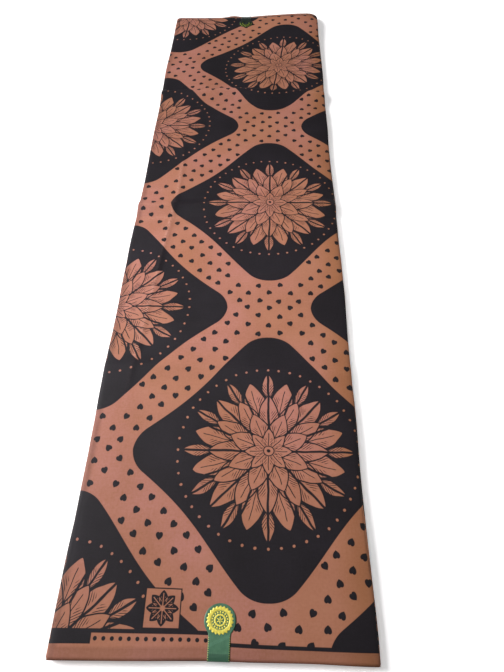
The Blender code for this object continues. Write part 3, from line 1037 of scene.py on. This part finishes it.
HEARTS = build_group("print hearts", FLAT_PLACE, hearts)
print("hearts stand about", round(500.0 * REPEAT_ACROSS / HEARTS_IN_REPEAT * math.sqrt(2.0)), "mm apart")

# %% [markdown]
# ## A flower in each diamond
#
# Each black diamond carries a round flower in copper: rings of petals and leaves, one behind
# the other, with veins left black. One ring is a group that folds the circle into equal sectors
# and makes one petal in each. The rings are laid from the outside in, and each cuts a black
# outline into the ones behind it.

# %% One ring of petals
Ring = namedtuple("Ring", "count phase inner outer half_width hatch")
OUTLINE = 0.0011
PETAL_INSET = 0.0002
PETAL_BELLY = 0.85
PETAL_FULLNESS = 0.75
VEIN_HALF_WIDTH = 0.00045
VEIN_SOFT = 0.0001
VEIN_ENDS = (0.82, 0.78)
HATCH_SLANT = 1.6
HATCH_LINES = (0.45, 0.65)
HATCH_ENDS = (0.62, 0.52)
HATCH_BESIDE_VEIN = (0.28, 0.34)
THINNEST = 0.0001
USUAL_RING = Ring(count=8.0, phase=0.0, inner=0.0, outer=0.05, half_width=0.01, hatch=0.003)


def petals(tree, entry):
    """Depth and ink in a ring of petals: a bent sine of the way out, less the way aside."""
    sector = entry.count.math("POWER", -1.0) * math.tau
    aside = abs(wrapped(entry.angle + entry.phase * sector, sector)) * entry.radius
    out = entry.radius.ramp(entry.inner, entry.outer)
    width = ((out**PETAL_BELLY) * math.pi).math("SINE")
    half_width = (larger(width, 0.0) ** PETAL_FULLNESS) * entry.half_width
    depth = half_width - aside
    vein = (-aside + VEIN_HALF_WIDTH).cut(soft=VEIN_SOFT) * out.ramp(*VEIN_ENDS)
    lines = stripes((entry.radius - aside * HATCH_SLANT) / entry.hatch, 1.0, *HATCH_LINES)
    beside_vein = (aside / larger(half_width, THINNEST)).ramp(*HATCH_BESIDE_VEIN)
    hatched = lines * out.ramp(*HATCH_ENDS) * beside_vein
    ink = depth.ramp(PETAL_INSET, PETAL_INSET + INK_EDGE)
    return {"depth": depth, "ink": ink * invert(vein) * invert(hatched)}


PETALS = build_group("ring of petals", {"radius": 0.0, "angle": 0.0, **USUAL_RING._asdict()}, petals)
print("inputs of a ring of petals:", list(Ring._fields))

# %% The whole flower
RINGS = (
    Ring(count=12.0, phase=0.0, inner=0.066, outer=0.097, half_width=0.0066, hatch=0.0038),
    Ring(count=12.0, phase=0.5, inner=0.040, outer=0.087, half_width=0.0125, hatch=0.0044),
    Ring(count=12.0, phase=0.0, inner=0.024, outer=0.068, half_width=0.0108, hatch=0.0040),
    Ring(count=8.0, phase=0.5, inner=0.010, outer=0.047, half_width=0.0110, hatch=0.0038),
    Ring(count=8.0, phase=0.0, inner=0.002, outer=0.026, half_width=0.0066, hatch=0.0032),
)
BEAD_RING = 0.1025
BEAD_COUNT = 48
BEAD_RADIUS = 0.0014
EYE_RADIUS = 0.0052
EYE_DOT = 0.0020
HAND_WAVE = 0.0012
HAND_WAVE_SCALE = 55.0


def flower(tree, entry):
    """1 where copper shows in a black diamond. Rings over rings, an eye, and beads."""
    values = {"Vector": flat_vector(tree, *entry), "Scale": HAND_WAVE_SCALE, "Detail": 1.0}
    noise = add_node(tree, "TexNoise", values, noise_dimensions="2D")
    dice = split_up(tree, "Color", noise.outputs["Color"])
    across, along = (
        place + (number - 0.5) * (2.0 * HAND_WAVE) for place, number in zip(entry, dice)
    )
    radius = length(across, along)
    angle = along.math("ARCTAN2", across)
    ink = radius * 0.0
    for ring in RINGS:
        laid = place_group(tree, PETALS, radius=radius, angle=angle, **ring._asdict())
        # Nothing shows within an outline's width of this ring's petals, but the petals themselves
        ink = larger(ink * laid.depth.ramp(-OUTLINE, -OUTLINE - INK_EDGE), laid.ink)
    eye = (-radius + EYE_RADIUS).cut() * invert((-radius + EYE_DOT).cut())
    ink = larger(ink * radius.cut(EYE_RADIUS + OUTLINE), eye)
    step = wrapped(angle, math.tau / BEAD_COUNT) * radius
    bead = (-length(step, radius - BEAD_RING) + BEAD_RADIUS).cut()
    return {"ink": larger(ink, bead)}


FLOWER = build_group("print flower", FLAT_PLACE, flower)
print("flower across in mm:", round(2000.0 * RINGS[0].outer))

# %% [markdown]
# ## The selvedges
#
# A wax print ends at both selvedges in a plain copper strip behind a black line. Near the left
# side a copper panel and a small framed square break the line. A row of dots and a rosette fill
# them here. Every shape is a rectangle, and a rectangle is two pairs of firm edges multiplied.
# The rollers didn't run quite true, so the strip is wider at the left than at the right, and a
# slow sine gives that.

# %% Selvedge shapes
STRIP_DEPTH = 0.0116
LINE_DEPTH = 0.0150
STRIP_WANDER = 0.0016
PANEL_FROM = 0.038
PANEL_TO = 0.1655
PANEL_DEPTH = 0.0204
BLOCK_TO = 0.168
BLOCK_DEPTH = 0.0240
PANEL_DOTS = 16
PANEL_DOT_STEP = (PANEL_TO - PANEL_FROM) / PANEL_DOTS
PANEL_DOT_RADIUS = 0.0019
FRAME_MIDDLE = (0.1025, 0.0422)
FRAME_HALF = 0.0178
FRAME_LINE = 0.0011
FRAME_ROSETTE = Ring(count=8.0, phase=0.0, inner=0.002, outer=0.0160, half_width=0.0056, hatch=0.0030)


def selvedge(tree, entry):
    """Strips, lines, panel and frame, laid over the black that the print already has."""
    across = entry.across.math("FLOORED_MODULO", REPEAT_ACROSS)
    past_middle = (across - 0.5 * STRIP_WIDTH) * (math.tau / REPEAT_ACROSS)
    along = entry.along + past_middle.math("SINE") * STRIP_WANDER
    in_block = invert(across.cut(BLOCK_TO))
    line = (in_block * (BLOCK_DEPTH - LINE_DEPTH) + LINE_DEPTH - along).cut()
    panel = across.cut(PANEL_FROM) * invert(across.cut(PANEL_TO)) * invert(along.cut(PANEL_DEPTH))
    dot_across = wrapped(across - (PANEL_FROM + 0.5 * PANEL_DOT_STEP), PANEL_DOT_STEP)
    dot_along = along - 0.5 * (STRIP_DEPTH + PANEL_DEPTH)
    dots = (-length(dot_across, dot_along) + PANEL_DOT_RADIUS).cut()
    frame_across = across - FRAME_MIDDLE[0]
    frame_along = along - FRAME_MIDDLE[1]
    reach = larger(abs(frame_across), abs(frame_along))
    square = invert(reach.cut(FRAME_HALF))
    border = reach.cut(FRAME_HALF - FRAME_LINE)
    rosette = place_group(
        tree,
        PETALS,
        radius=length(frame_across, frame_along),
        angle=frame_along.math("ARCTAN2", frame_across),
        **FRAME_ROSETTE._asdict(),
    )
    black = entry.black * invert(square) + square * larger(border, rosette.ink)
    black = larger(black, line)
    black = black * invert(panel) + panel * dots
    black = black * along.cut(STRIP_DEPTH)
    far = -along + CLOTH_LENGTH
    return {"black": larger(black, invert(far.cut(LINE_DEPTH))) * far.cut(STRIP_DEPTH)}


SELVEDGE = build_group("print selvedge", {**FLAT_PLACE, "black": 0.0}, selvedge)
print("one dot to every", round(1000.0 * PANEL_DOT_STEP, 1), "mm of the panel")

# %% The whole print in one group


def wax_print(tree, entry):
    """1 where the cloth is black, from a place in metres of flat cloth."""
    place = entry._asdict()
    diamond = place_group(tree, DIAMONDS, **place)
    on_lattice = place_group(tree, HEARTS, **place).hearts
    copper = place_group(tree, FLOWER, across=diamond.from_middle, along=diamond.past_middle).ink
    black = larger(diamond.depth.cut(), on_lattice) * invert(copper)
    return {"black": place_group(tree, SELVEDGE, black=black, **place).black}


WAX_PRINT = build_group("wax print", FLAT_PLACE, wax_print)
print("node groups:", sorted(group.name for group in bpy.data.node_groups))

# %% [markdown]
# ## Dyed and waxed cotton
#
# The copper and the black are one cloth, so one material mixes them by the print. Calendered
# cotton has a faint gloss, a fine weave, streaks along its threads and cloudy dye. These come
# from noise on the cloth's own UV map. Where the cloth was creased its dye is rubbed a little
# paler, and on the crests this paler line is also a painted highlight; an attribute on the mesh
# says how strongly. The copper is painted darker as shade in a narrow band at the left fold, in a
# wide warm one at the right, and in the plain strips at both selvedges. Its tone drifts at random,
# and a painted sheen makes it pinker on the left.

# %% Helpers for materials
EVEN = (1.0, 1.0, 1.0)
Grain = namedtuple("Grain", "scale detail stretch")


def new_material(name):
    """A material with its shader's sockets, and the flat sizes across and along from the UV map."""
    material = bpy.data.materials.new(name)
    material.use_nodes = True
    tree = material.node_tree
    vector = add_node(tree, "UVMap", {}, uv_map="flat").outputs["UV"]
    across, along, _ = split_up(tree, "XYZ", vector)
    return material, tree, tree.nodes["Principled BSDF"].inputs, across, along, vector


def read_attribute(tree, name):
    """The number that the mesh has at each point under that name."""
    return Term(tree, add_node(tree, "Attribute", {}, attribute_name=name).outputs["Fac"])


def noise_at(tree, vector, grain):
    """A noise from 0 to 1 on a vector, with a scale and a stretch for each direction."""
    vector = add_node(tree, "Mapping", {"Vector": vector, "Scale": grain.stretch}).outputs["Vector"]
    values = {"Vector": vector, "Scale": grain.scale, "Detail": grain.detail}
    return Term(tree, add_node(tree, "TexNoise", values).outputs["Fac"])


def layered(tree, colour, *layers):
    """A colour under layers: each is a share from 0 to 1 and the colour that it lays over."""
    for share, added in layers:
        node = add_node(tree, "Mix", {}, data_type="RGBA")
        entries = {socket.identifier: socket for socket in node.inputs}
        feed(tree, entries, {"Factor_Float": share, "A_Color": colour, "B_Color": added})
        colour = next(socket for socket in node.outputs if socket.identifier == "Result_Color")
    return colour


def bumped(tree, height, strength, distance):
    """A normal bent by a Bump node, from a height in shares of a distance in metres."""
    values = {"Height": height, "Strength": strength, "Distance": distance}
    return add_node(tree, "Bump", values).outputs["Normal"]


# %% Weave and cloudy dye, shared by both cotton materials
THREAD = 0.00042
DRIFTS = Grain(scale=9.0, detail=1.0, stretch=(1.0, 0.7, 1.0))
CLOUDS = Grain(scale=16.0, detail=4.0, stretch=EVEN)
WARP = Grain(scale=1.0, detail=2.0, stretch=(1300.0, 45.0, 1.0))
WEFT = Grain(scale=1.0, detail=2.0, stretch=(45.0, 1300.0, 1.0))
MOTTLE = Grain(scale=380.0, detail=3.0, stretch=EVEN)


def weave_and_dye(tree, entry):
    """Drifts, clouds and streaks of dye, and a plain weave's height, the product of two sines."""
    place = entry.place.socket
    across, along, _ = split_up(tree, "XYZ", place)
    warp, weft = ((term * (math.pi / THREAD)).math("SINE") for term in (across, along))
    streaks = noise_at(tree, place, WARP) * 0.5 + noise_at(tree, place, WEFT) * 0.5
    return {
        "drifts": noise_at(tree, place, DRIFTS),
        "clouds": noise_at(tree, place, CLOUDS),
        "streaks": streaks,
        "mottle": noise_at(tree, place, MOTTLE),
        "height": warp * weft * 0.5 + streaks,
    }


WEAVE = build_group("cotton weave", {"place": None}, weave_and_dye)
print("threads in a cm of cloth:", round(0.01 / THREAD))

# %% Printed cotton
# Pink copper serves the random drifts of tone and also the painted sheen on the left
COPPER_PINK = (0.374, 0.160, 0.129, 1.0)
COPPER_BROWN = (0.345, 0.152, 0.092, 1.0)
COPPER_DEEP = (0.295, 0.122, 0.070, 1.0)
COPPER_SHADED = (0.030, 0.010, 0.010, 1.0)
# Warm dark copper, painted shade along the right fold
COPPER_RIGHT_SHADE = (0.200, 0.080, 0.007, 1.0)
BLACK = (0.0098, 0.0083, 0.0101, 1.0)
BLACK_WORN = (0.0163, 0.0135, 0.0178, 1.0)
# Paler copper for rubbed creases, on the crests also a painted highlight
RUBBED_AND_HIGHLIGHT = (0.50, 0.26, 0.20, 1.0)
# Bands at both folds and in the selvedge strips where the copper is painted darker as shade
LEFT_SHADE_BAND = (0.0100, 0.0045)
LEFT_SHADE_DEPTH = 0.36
RIGHT_SHADE_BAND = (0.036, 0.010)
RIGHT_SHADE_DEPTH = 0.32
SELVEDGE_SHADE_BAND = (STRIP_DEPTH + 0.0005, STRIP_DEPTH - 0.0025)
SELVEDGE_SHADE_DEPTH = 0.22
# How much a painted sheen tints the copper pinker towards the left
PAINTED_SHEEN_TO_LEFT = 0.4
PINK_RAMP = (0.40, 0.60)
COPPER_RAMP = (0.38, 0.62)
BLACK_RAMP = (0.42, 0.72)
RUB_HIGHLIGHT_RAMP = (0.3, 0.7)
RUB_HIGHLIGHT_ON_COPPER = 0.62
RUB_HIGHLIGHT_ON_BLACK = 0.016
CLOUD_SHARE = 0.45
MOTTLE_SHARE = 0.30
STREAK_SHARE = 0.25
ROUGHNESS_SPREAD = 0.14


def paint_edge_shade(tree, copper, across, along):
    """Painted shade: copper darker at both folds and in the selvedge strips, by ramps over flat sizes.
    """
    left = across.ramp(*LEFT_SHADE_BAND) * LEFT_SHADE_DEPTH
    right = (-across + STRIP_WIDTH).ramp(*RIGHT_SHADE_BAND) * RIGHT_SHADE_DEPTH
    selvedge_shade = larger(along.ramp(*SELVEDGE_SHADE_BAND), (-along + CLOTH_LENGTH).ramp(*SELVEDGE_SHADE_BAND)) * SELVEDGE_SHADE_DEPTH
    return layered(tree, copper, (right, COPPER_RIGHT_SHADE), (larger(left, selvedge_shade), COPPER_SHADED))


def cotton(name, roughness, gloss, painted_light):
    """Printed cotton: two dyes by the print, clouds and streaks, rubbed creases painted paler as
    highlights, a fine weave.
    """
    material, tree, shader, across, along, vector = new_material(name)
    black = place_group(tree, WAX_PRINT, across=across, along=along).black
    weave = place_group(tree, WEAVE, place=vector)
    shade = weave.clouds * CLOUD_SHARE + weave.mottle * MOTTLE_SHARE + weave.streaks * STREAK_SHARE
    pinkness = weave.drifts
    # The top layer alone gets a painted sheen that tints its left side pinker
    if painted_light:
        pinkness = pinkness - (across - 0.5 * STRIP_WIDTH) * PAINTED_SHEEN_TO_LEFT
    even = layered(tree, COPPER_BROWN, (pinkness.ramp(*PINK_RAMP), COPPER_PINK))
    copper = layered(tree, COPPER_DEEP, (shade.ramp(*COPPER_RAMP), even))
    # The top layer alone gets painted shade at its folds and selvedge strips
    if painted_light:
        copper = paint_edge_shade(tree, copper, across, along)
    dark = layered(tree, BLACK, (shade.ramp(*BLACK_RAMP), BLACK_WORN))
    # Rubbed creases: wear, and on the crests a painted highlight, strong on copper and faint on black
    rub_and_highlight = read_attribute(tree, "crease") * weave.mottle.ramp(*RUB_HIGHLIGHT_RAMP)
    rub_and_highlight = rub_and_highlight * (invert(black) * RUB_HIGHLIGHT_ON_COPPER + RUB_HIGHLIGHT_ON_BLACK)
    finish = {
        "Base Color": layered(tree, copper, (black, dark), (rub_and_highlight, RUBBED_AND_HIGHLIGHT)),
        "Roughness": weave.mottle * ROUGHNESS_SPREAD + (roughness - 0.5 * ROUGHNESS_SPREAD),
        "Specular IOR Level": gloss,
        "Normal": bumped(tree, weave.height, strength=0.30, distance=0.00010),
    }
    feed(tree, shader, finish)
    return material


# %% [markdown]
# ## Satin and foil
#
# Satin is smooth along its length, so its streaks are long and thin. A fine stitched edging is
# woven along both sides of the tail, and a paler band crosses the tail aslant. Where the ribbon
# turns over the selvedge it is painted darker as shade, behind a row of stitches. The far ribbon is
# painted nearly black as shade, by an attribute on its mesh. The foil takes its colour from the
# same radii as its relief. The far seal is the same stamp painted dark as shade, where only beads
# and tips of the near half are painted bright as highlights.

# %% Satin
GREEN = (0.076, 0.185, 0.107, 1.0)
GREEN_DEEP = (0.042, 0.112, 0.066, 1.0)
GREEN_PALE = (0.115, 0.270, 0.180, 1.0)
# Dark green for stitches and the edging's gaps, and as painted shade on the turned part
GREEN_DARK = (0.008, 0.034, 0.022, 1.0)
# Near-black green, painted shade for the far ribbon
GREEN_IN_SHADE = (0.006, 0.010, 0.008, 1.0)
EDGING = (0.36, 0.42, 0.07, 1.0)
EDGING_TO = 0.0010
EDGING_SOFT = 0.0002
EDGING_STITCH = 0.0018
TAIL_FROM = 0.0135
TAIL_SOFT = 0.001
BAND_FROM = 0.0155
BAND_WIDTH = 0.0040
BAND_SOFT = 0.0008
BAND_SLANT = 0.45
BAND_THREAD = 0.0009
BAND_SHARE = 0.45
TURN_FROM = 0.0285
TURN_SOFT = 0.0006
TURN_STITCH = 0.0010
TURN_UNSHADED = 0.4
TURN_SHADE_SHARE = 0.55
ROW_HALF_WIDTH = 0.0005
ROW_SOFT = 0.0002
ROW_SHARE = 0.85
GAP_SHARE = 0.6
STITCH_SHARE = 0.5
THREAD_SINES = (-0.4, 0.6)
STITCH_SINES = (-0.1, 0.3)
SATIN_STREAKS = Grain(scale=1.0, detail=3.0, stretch=(5200.0, 120.0, 1.0))
SATIN_CLOUDS = Grain(scale=160.0, detail=2.0, stretch=EVEN)
SATIN_RAMP = (0.35, 0.65)
STREAK_PART = 0.6
SATIN_ROUGHNESS = 0.34
SATIN_ROUGHNESS_SPREAD = 0.2
STITCH_RELIEF = 1.5


def satin(name):
    """Green satin ribbon: thin streaks along it, a stitched edging, a pale band, painted shade on the
    turn.
    """
    material, tree, shader, across, along, vector = new_material(name)
    streaks = noise_at(tree, vector, SATIN_STREAKS)
    cloudy = streaks * STREAK_PART + noise_at(tree, vector, SATIN_CLOUDS) * (1.0 - STREAK_PART)
    aslant = along + across * BAND_SLANT
    band_to = BAND_FROM + BAND_WIDTH
    band = aslant.ramp(BAND_FROM, BAND_FROM + BAND_SOFT) * aslant.ramp(band_to, band_to - BAND_SOFT)
    threads = stripes(along - across, BAND_THREAD, *THREAD_SINES)
    # The part turned down over the selvedge is painted darker as shade
    turned = along.ramp(TURN_FROM, TURN_FROM + TURN_SOFT)
    row = (-abs(along - TURN_FROM) + ROW_HALF_WIDTH).ramp(0.0, ROW_SOFT)
    row = row * stripes(across, TURN_STITCH, *STITCH_SINES)
    side = (-abs(across) + RIBBON_HALF_WIDTH).ramp(EDGING_TO + EDGING_SOFT, EDGING_TO)
    side = side * along.ramp(TAIL_FROM, TAIL_FROM + TAIL_SOFT)
    stitch = stripes(along, EDGING_STITCH, *STITCH_SINES)
    colour = layered(
        tree,
        GREEN_DEEP,
        (cloudy.ramp(*SATIN_RAMP), GREEN),
        (band * threads * BAND_SHARE, GREEN_PALE),
        (turned * TURN_SHADE_SHARE, GREEN_DARK),
        (row * ROW_SHARE, GREEN_DARK),
        (side * invert(stitch) * GAP_SHARE, GREEN_DARK),
        (side * stitch * STITCH_SHARE, EDGING),
        # Painted shade: the far ribbon nearly black, a little less where it turns down
        (read_attribute(tree, "shade") * invert(turned * TURN_UNSHADED), GREEN_IN_SHADE),
    )
    height = streaks + side * stitch * STITCH_RELIEF
    finish = {
        "Base Color": colour,
        "Roughness": streaks * SATIN_ROUGHNESS_SPREAD + SATIN_ROUGHNESS,
        "Specular IOR Level": 0.30,
        "Sheen Weight": 0.08,
        "Sheen Roughness": 0.35,
        "Normal": bumped(tree, height, strength=0.25, distance=0.00008),
    }
    feed(tree, shader, finish)
    return material


# %% Foil
YELLOW = (0.80, 0.70, 0.11, 1.0)
LACQUER = (0.050, 0.130, 0.060, 1.0)
# Painted highlights and painted shade, for the far seal
PAINTED_GLINTS = (0.50, 0.62, 0.04, 1.0)
LACQUER_IN_SHADE = (0.006, 0.012, 0.008, 1.0)
STAMP_EDGE = 0.00012
BAND_LINE = 0.0003
TIPS_FROM = 0.0118
TIP_SINES = (0.2, 0.5)
# The near half of the far seal, where its highlights are painted
LIT_HALF = (0.004, -0.001)
SPECKLE = Grain(scale=900.0, detail=3.0, stretch=EVEN)
FOIL_ROUGHNESS = 0.28
FOIL_ROUGHNESS_SPREAD = 0.2


def foil(name, bright, dark, metal, painted_shade):
    """Stamped foil: all bright, or painted shade with painted highlights on beads and tips of the near
    half.
    """
    material, tree, shader, across, along, vector = new_material(name)
    radius = length(across, along)
    angle = across.math("ARCTAN2", along)
    aside = wrapped(angle, math.tau / BEADS_ON_SEAL) * radius
    shine = (-length(aside, radius - BEAD_AT) + SEAL_BEAD_RADIUS).cut(soft=STAMP_EDGE)
    # The far seal: dark as painted shade, with beads and tooth tips painted bright as highlights on its
    # near half
    if painted_shade:
        tooth = (angle * float(TEETH)).math("COSINE").ramp(*TIP_SINES)
        shine = larger(shine, radius.cut(TIPS_FROM, STAMP_EDGE) * tooth) * along.ramp(*LIT_HALF)
    else:
        line_end = BAND_OUTSIDE + BAND_LINE
        line = radius.cut(BAND_OUTSIDE, STAMP_EDGE) * radius.ramp(line_end + STAMP_EDGE, line_end)
        ring_edge = (angle * float(RING_TEETH)).math("COSINE") * RING_TOOTH + RING_OUTSIDE
        ring = radius.cut(RING_INSIDE, STAMP_EDGE) * (ring_edge - radius).cut(soft=STAMP_EDGE)
        petal = ((angle * float(ROSETTE_PETALS)).math("COSINE") * 0.5 + 0.5) * ROSETTE_RADIUS
        rosette = (petal - radius).cut(soft=STAMP_EDGE)
        for stamped in (radius.cut(RIM_INSIDE, STAMP_EDGE), line, ring, rosette):
            shine = larger(shine, stamped)
    speckle = noise_at(tree, vector, SPECKLE)
    finish = {
        "Base Color": layered(tree, dark, (shine, bright)),
        "Metallic": shine * metal,
        "Roughness": speckle * FOIL_ROUGHNESS_SPREAD + FOIL_ROUGHNESS,
        "Normal": bumped(tree, speckle, strength=0.3, distance=0.00006),
    }
    feed(tree, shader, finish)
    return material


# %% Finishes on their pieces
# The top layer's cotton carries the painted shade and the painted sheen, the inside cotton neither
TOP_COTTON = cotton("printed cotton", roughness=0.60, gloss=0.14, painted_light=True)
INSIDE_COTTON = cotton("printed cotton inside", roughness=0.65, gloss=0.15, painted_light=False)
SATIN = satin("green satin")
YELLOW_FOIL = foil("yellow foil", bright=YELLOW, dark=LACQUER, metal=0.3, painted_shade=False)
# The far seal, the same stamp in painted shade with painted highlights
DARK_FOIL = foil("dark foil", bright=PAINTED_GLINTS, dark=LACQUER_IN_SHADE, metal=0.2, painted_shade=True)
Dress = namedtuple("Dress", "piece material node slot")
DRESSED = (
    Dress(printed_top, TOP_COTTON, "top_layer", "printed_cotton"),
    Dress(plaited_layers, INSIDE_COTTON, "folded_layers", "printed_cotton_inside"),
    Dress(near_ribbon, SATIN, "near_label_ribbon", "green_ribbon"),
    Dress(far_ribbon, SATIN, "far_label_ribbon", "green_ribbon"),
    Dress(near_seal, YELLOW_FOIL, "near_label_seal", "yellow_foil"),
    Dress(far_seal, DARK_FOIL, "far_label_seal", "dark_foil"),
)
for dress in DRESSED:
    dress.piece.data.materials.append(dress.material)
    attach(dress.piece, "root")
    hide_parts(dress.node)
print("dressed pieces:", [dress.piece.name for dress in DRESSED])

# %% [markdown]
# ## Floor and light
#
# The cloth lies on a plain pale disc, which glows faintly like a lit table, so that the shadows
# stay soft. A high window past the far left corner gives the wax its cool shine, a big soft light
# from the left shapes the creases, a lamp with a narrow beam brightens the nearer part of the left
# side, and a weak light fills the right. The sky looks pale to the camera, but gives hardly any
# light. The standard view shows dyes as they are, where the default one would grey them.

# %% Studio
FLOOR_RADIUS = 2.8
FLOOR_SIDES = 96
FLOOR_COLOUR = (0.94, 0.94, 0.94, 1.0)
FLOOR_FINISH = {
    "Base Color": FLOOR_COLOUR,
    "Roughness": 0.95,
    "Specular IOR Level": 0.1,
    "Emission Color": FLOOR_COLOUR,
    "Emission Strength": 0.40,
}
SKY_COLOUR = (1.0, 0.99, 0.98, 1.0)
SKY_STRENGTH = 0.060
SKY_SEEN = 0.85
COOL = (0.84, 0.86, 1.0)
PINKISH = (1.0, 0.975, 0.985)
WARM = (1.0, 0.96, 0.90)
Softbox = namedtuple("Softbox", "name place aim size spread power colour")
SOFTBOXES = (
    Softbox("window", (-1.5, 2.2, 3.4), (0.0, 0.0, 0.0), 1.7, 180.0, 13.0, COOL),
    Softbox("side", (-3.0, 0.4, 1.9), (0.0, 0.0, 0.0), 1.6, 180.0, 245.0, PINKISH),
    Softbox("lamp", (-0.45, -0.09, 1.1), (-0.07, -0.17, 0.0), 0.35, 42.0, 0.43, PINKISH),
    Softbox("fill", (1.2, 0.1, 1.2), (0.0, 0.0, 0.0), 1.2, 180.0, 5.0, WARM),
)


def add_floor():
    """A wide disc, corners on a circle, in the plane that the cloth rests on."""
    angle = np.arange(FLOOR_SIDES) * (math.tau / FLOOR_SIDES)
    corners = FLOOR_RADIUS * np.stack([np.cos(angle), np.sin(angle), np.zeros(FLOOR_SIDES)], axis=-1)
    mesh = bpy.data.meshes.new("floor")
    mesh.from_pydata(corners.tolist(), [], [tuple(range(FLOOR_SIDES))])
    floor = bpy.data.objects.new("floor", mesh)
    bpy.context.scene.collection.objects.link(floor)
    material = bpy.data.materials.new("pale floor")
    material.use_nodes = True
    feed(material.node_tree, material.node_tree.nodes["Principled BSDF"].inputs, FLOOR_FINISH)
    mesh.materials.append(material)


def add_softbox(softbox):
    """A square area light, turned towards its aim, whose beam a grid may narrow."""
    data = bpy.data.lights.new(softbox.name, "AREA")
    data.size = softbox.size
    data.spread = math.radians(softbox.spread)
    data.energy = softbox.power
    data.color = softbox.colour
    light = bpy.data.objects.new(softbox.name, data)
    light.location = softbox.place
    beam = Vector(softbox.aim) - Vector(softbox.place)
    light.rotation_euler = beam.to_track_quat("-Z", "Y").to_euler()
    bpy.context.scene.collection.objects.link(light)


def set_sky():
    """An even world that gives little light, but that the camera sees as pale as the floor."""
    world = bpy.data.worlds.new("sky")
    world.use_nodes = True
    tree = world.node_tree
    seen = Term(tree, add_node(tree, "LightPath", {}).outputs["Is Camera Ray"])
    strength = seen * (SKY_SEEN - SKY_STRENGTH) + SKY_STRENGTH
    feed(tree, tree.nodes["Background"].inputs, {"Color": SKY_COLOUR, "Strength": strength})
    bpy.context.scene.world = world


add_floor()
for softbox in SOFTBOXES:
    add_softbox(softbox)
set_sky()
bpy.context.scene.view_settings.view_transform = "Standard"
print("lights:", [softbox.name for softbox in SOFTBOXES])
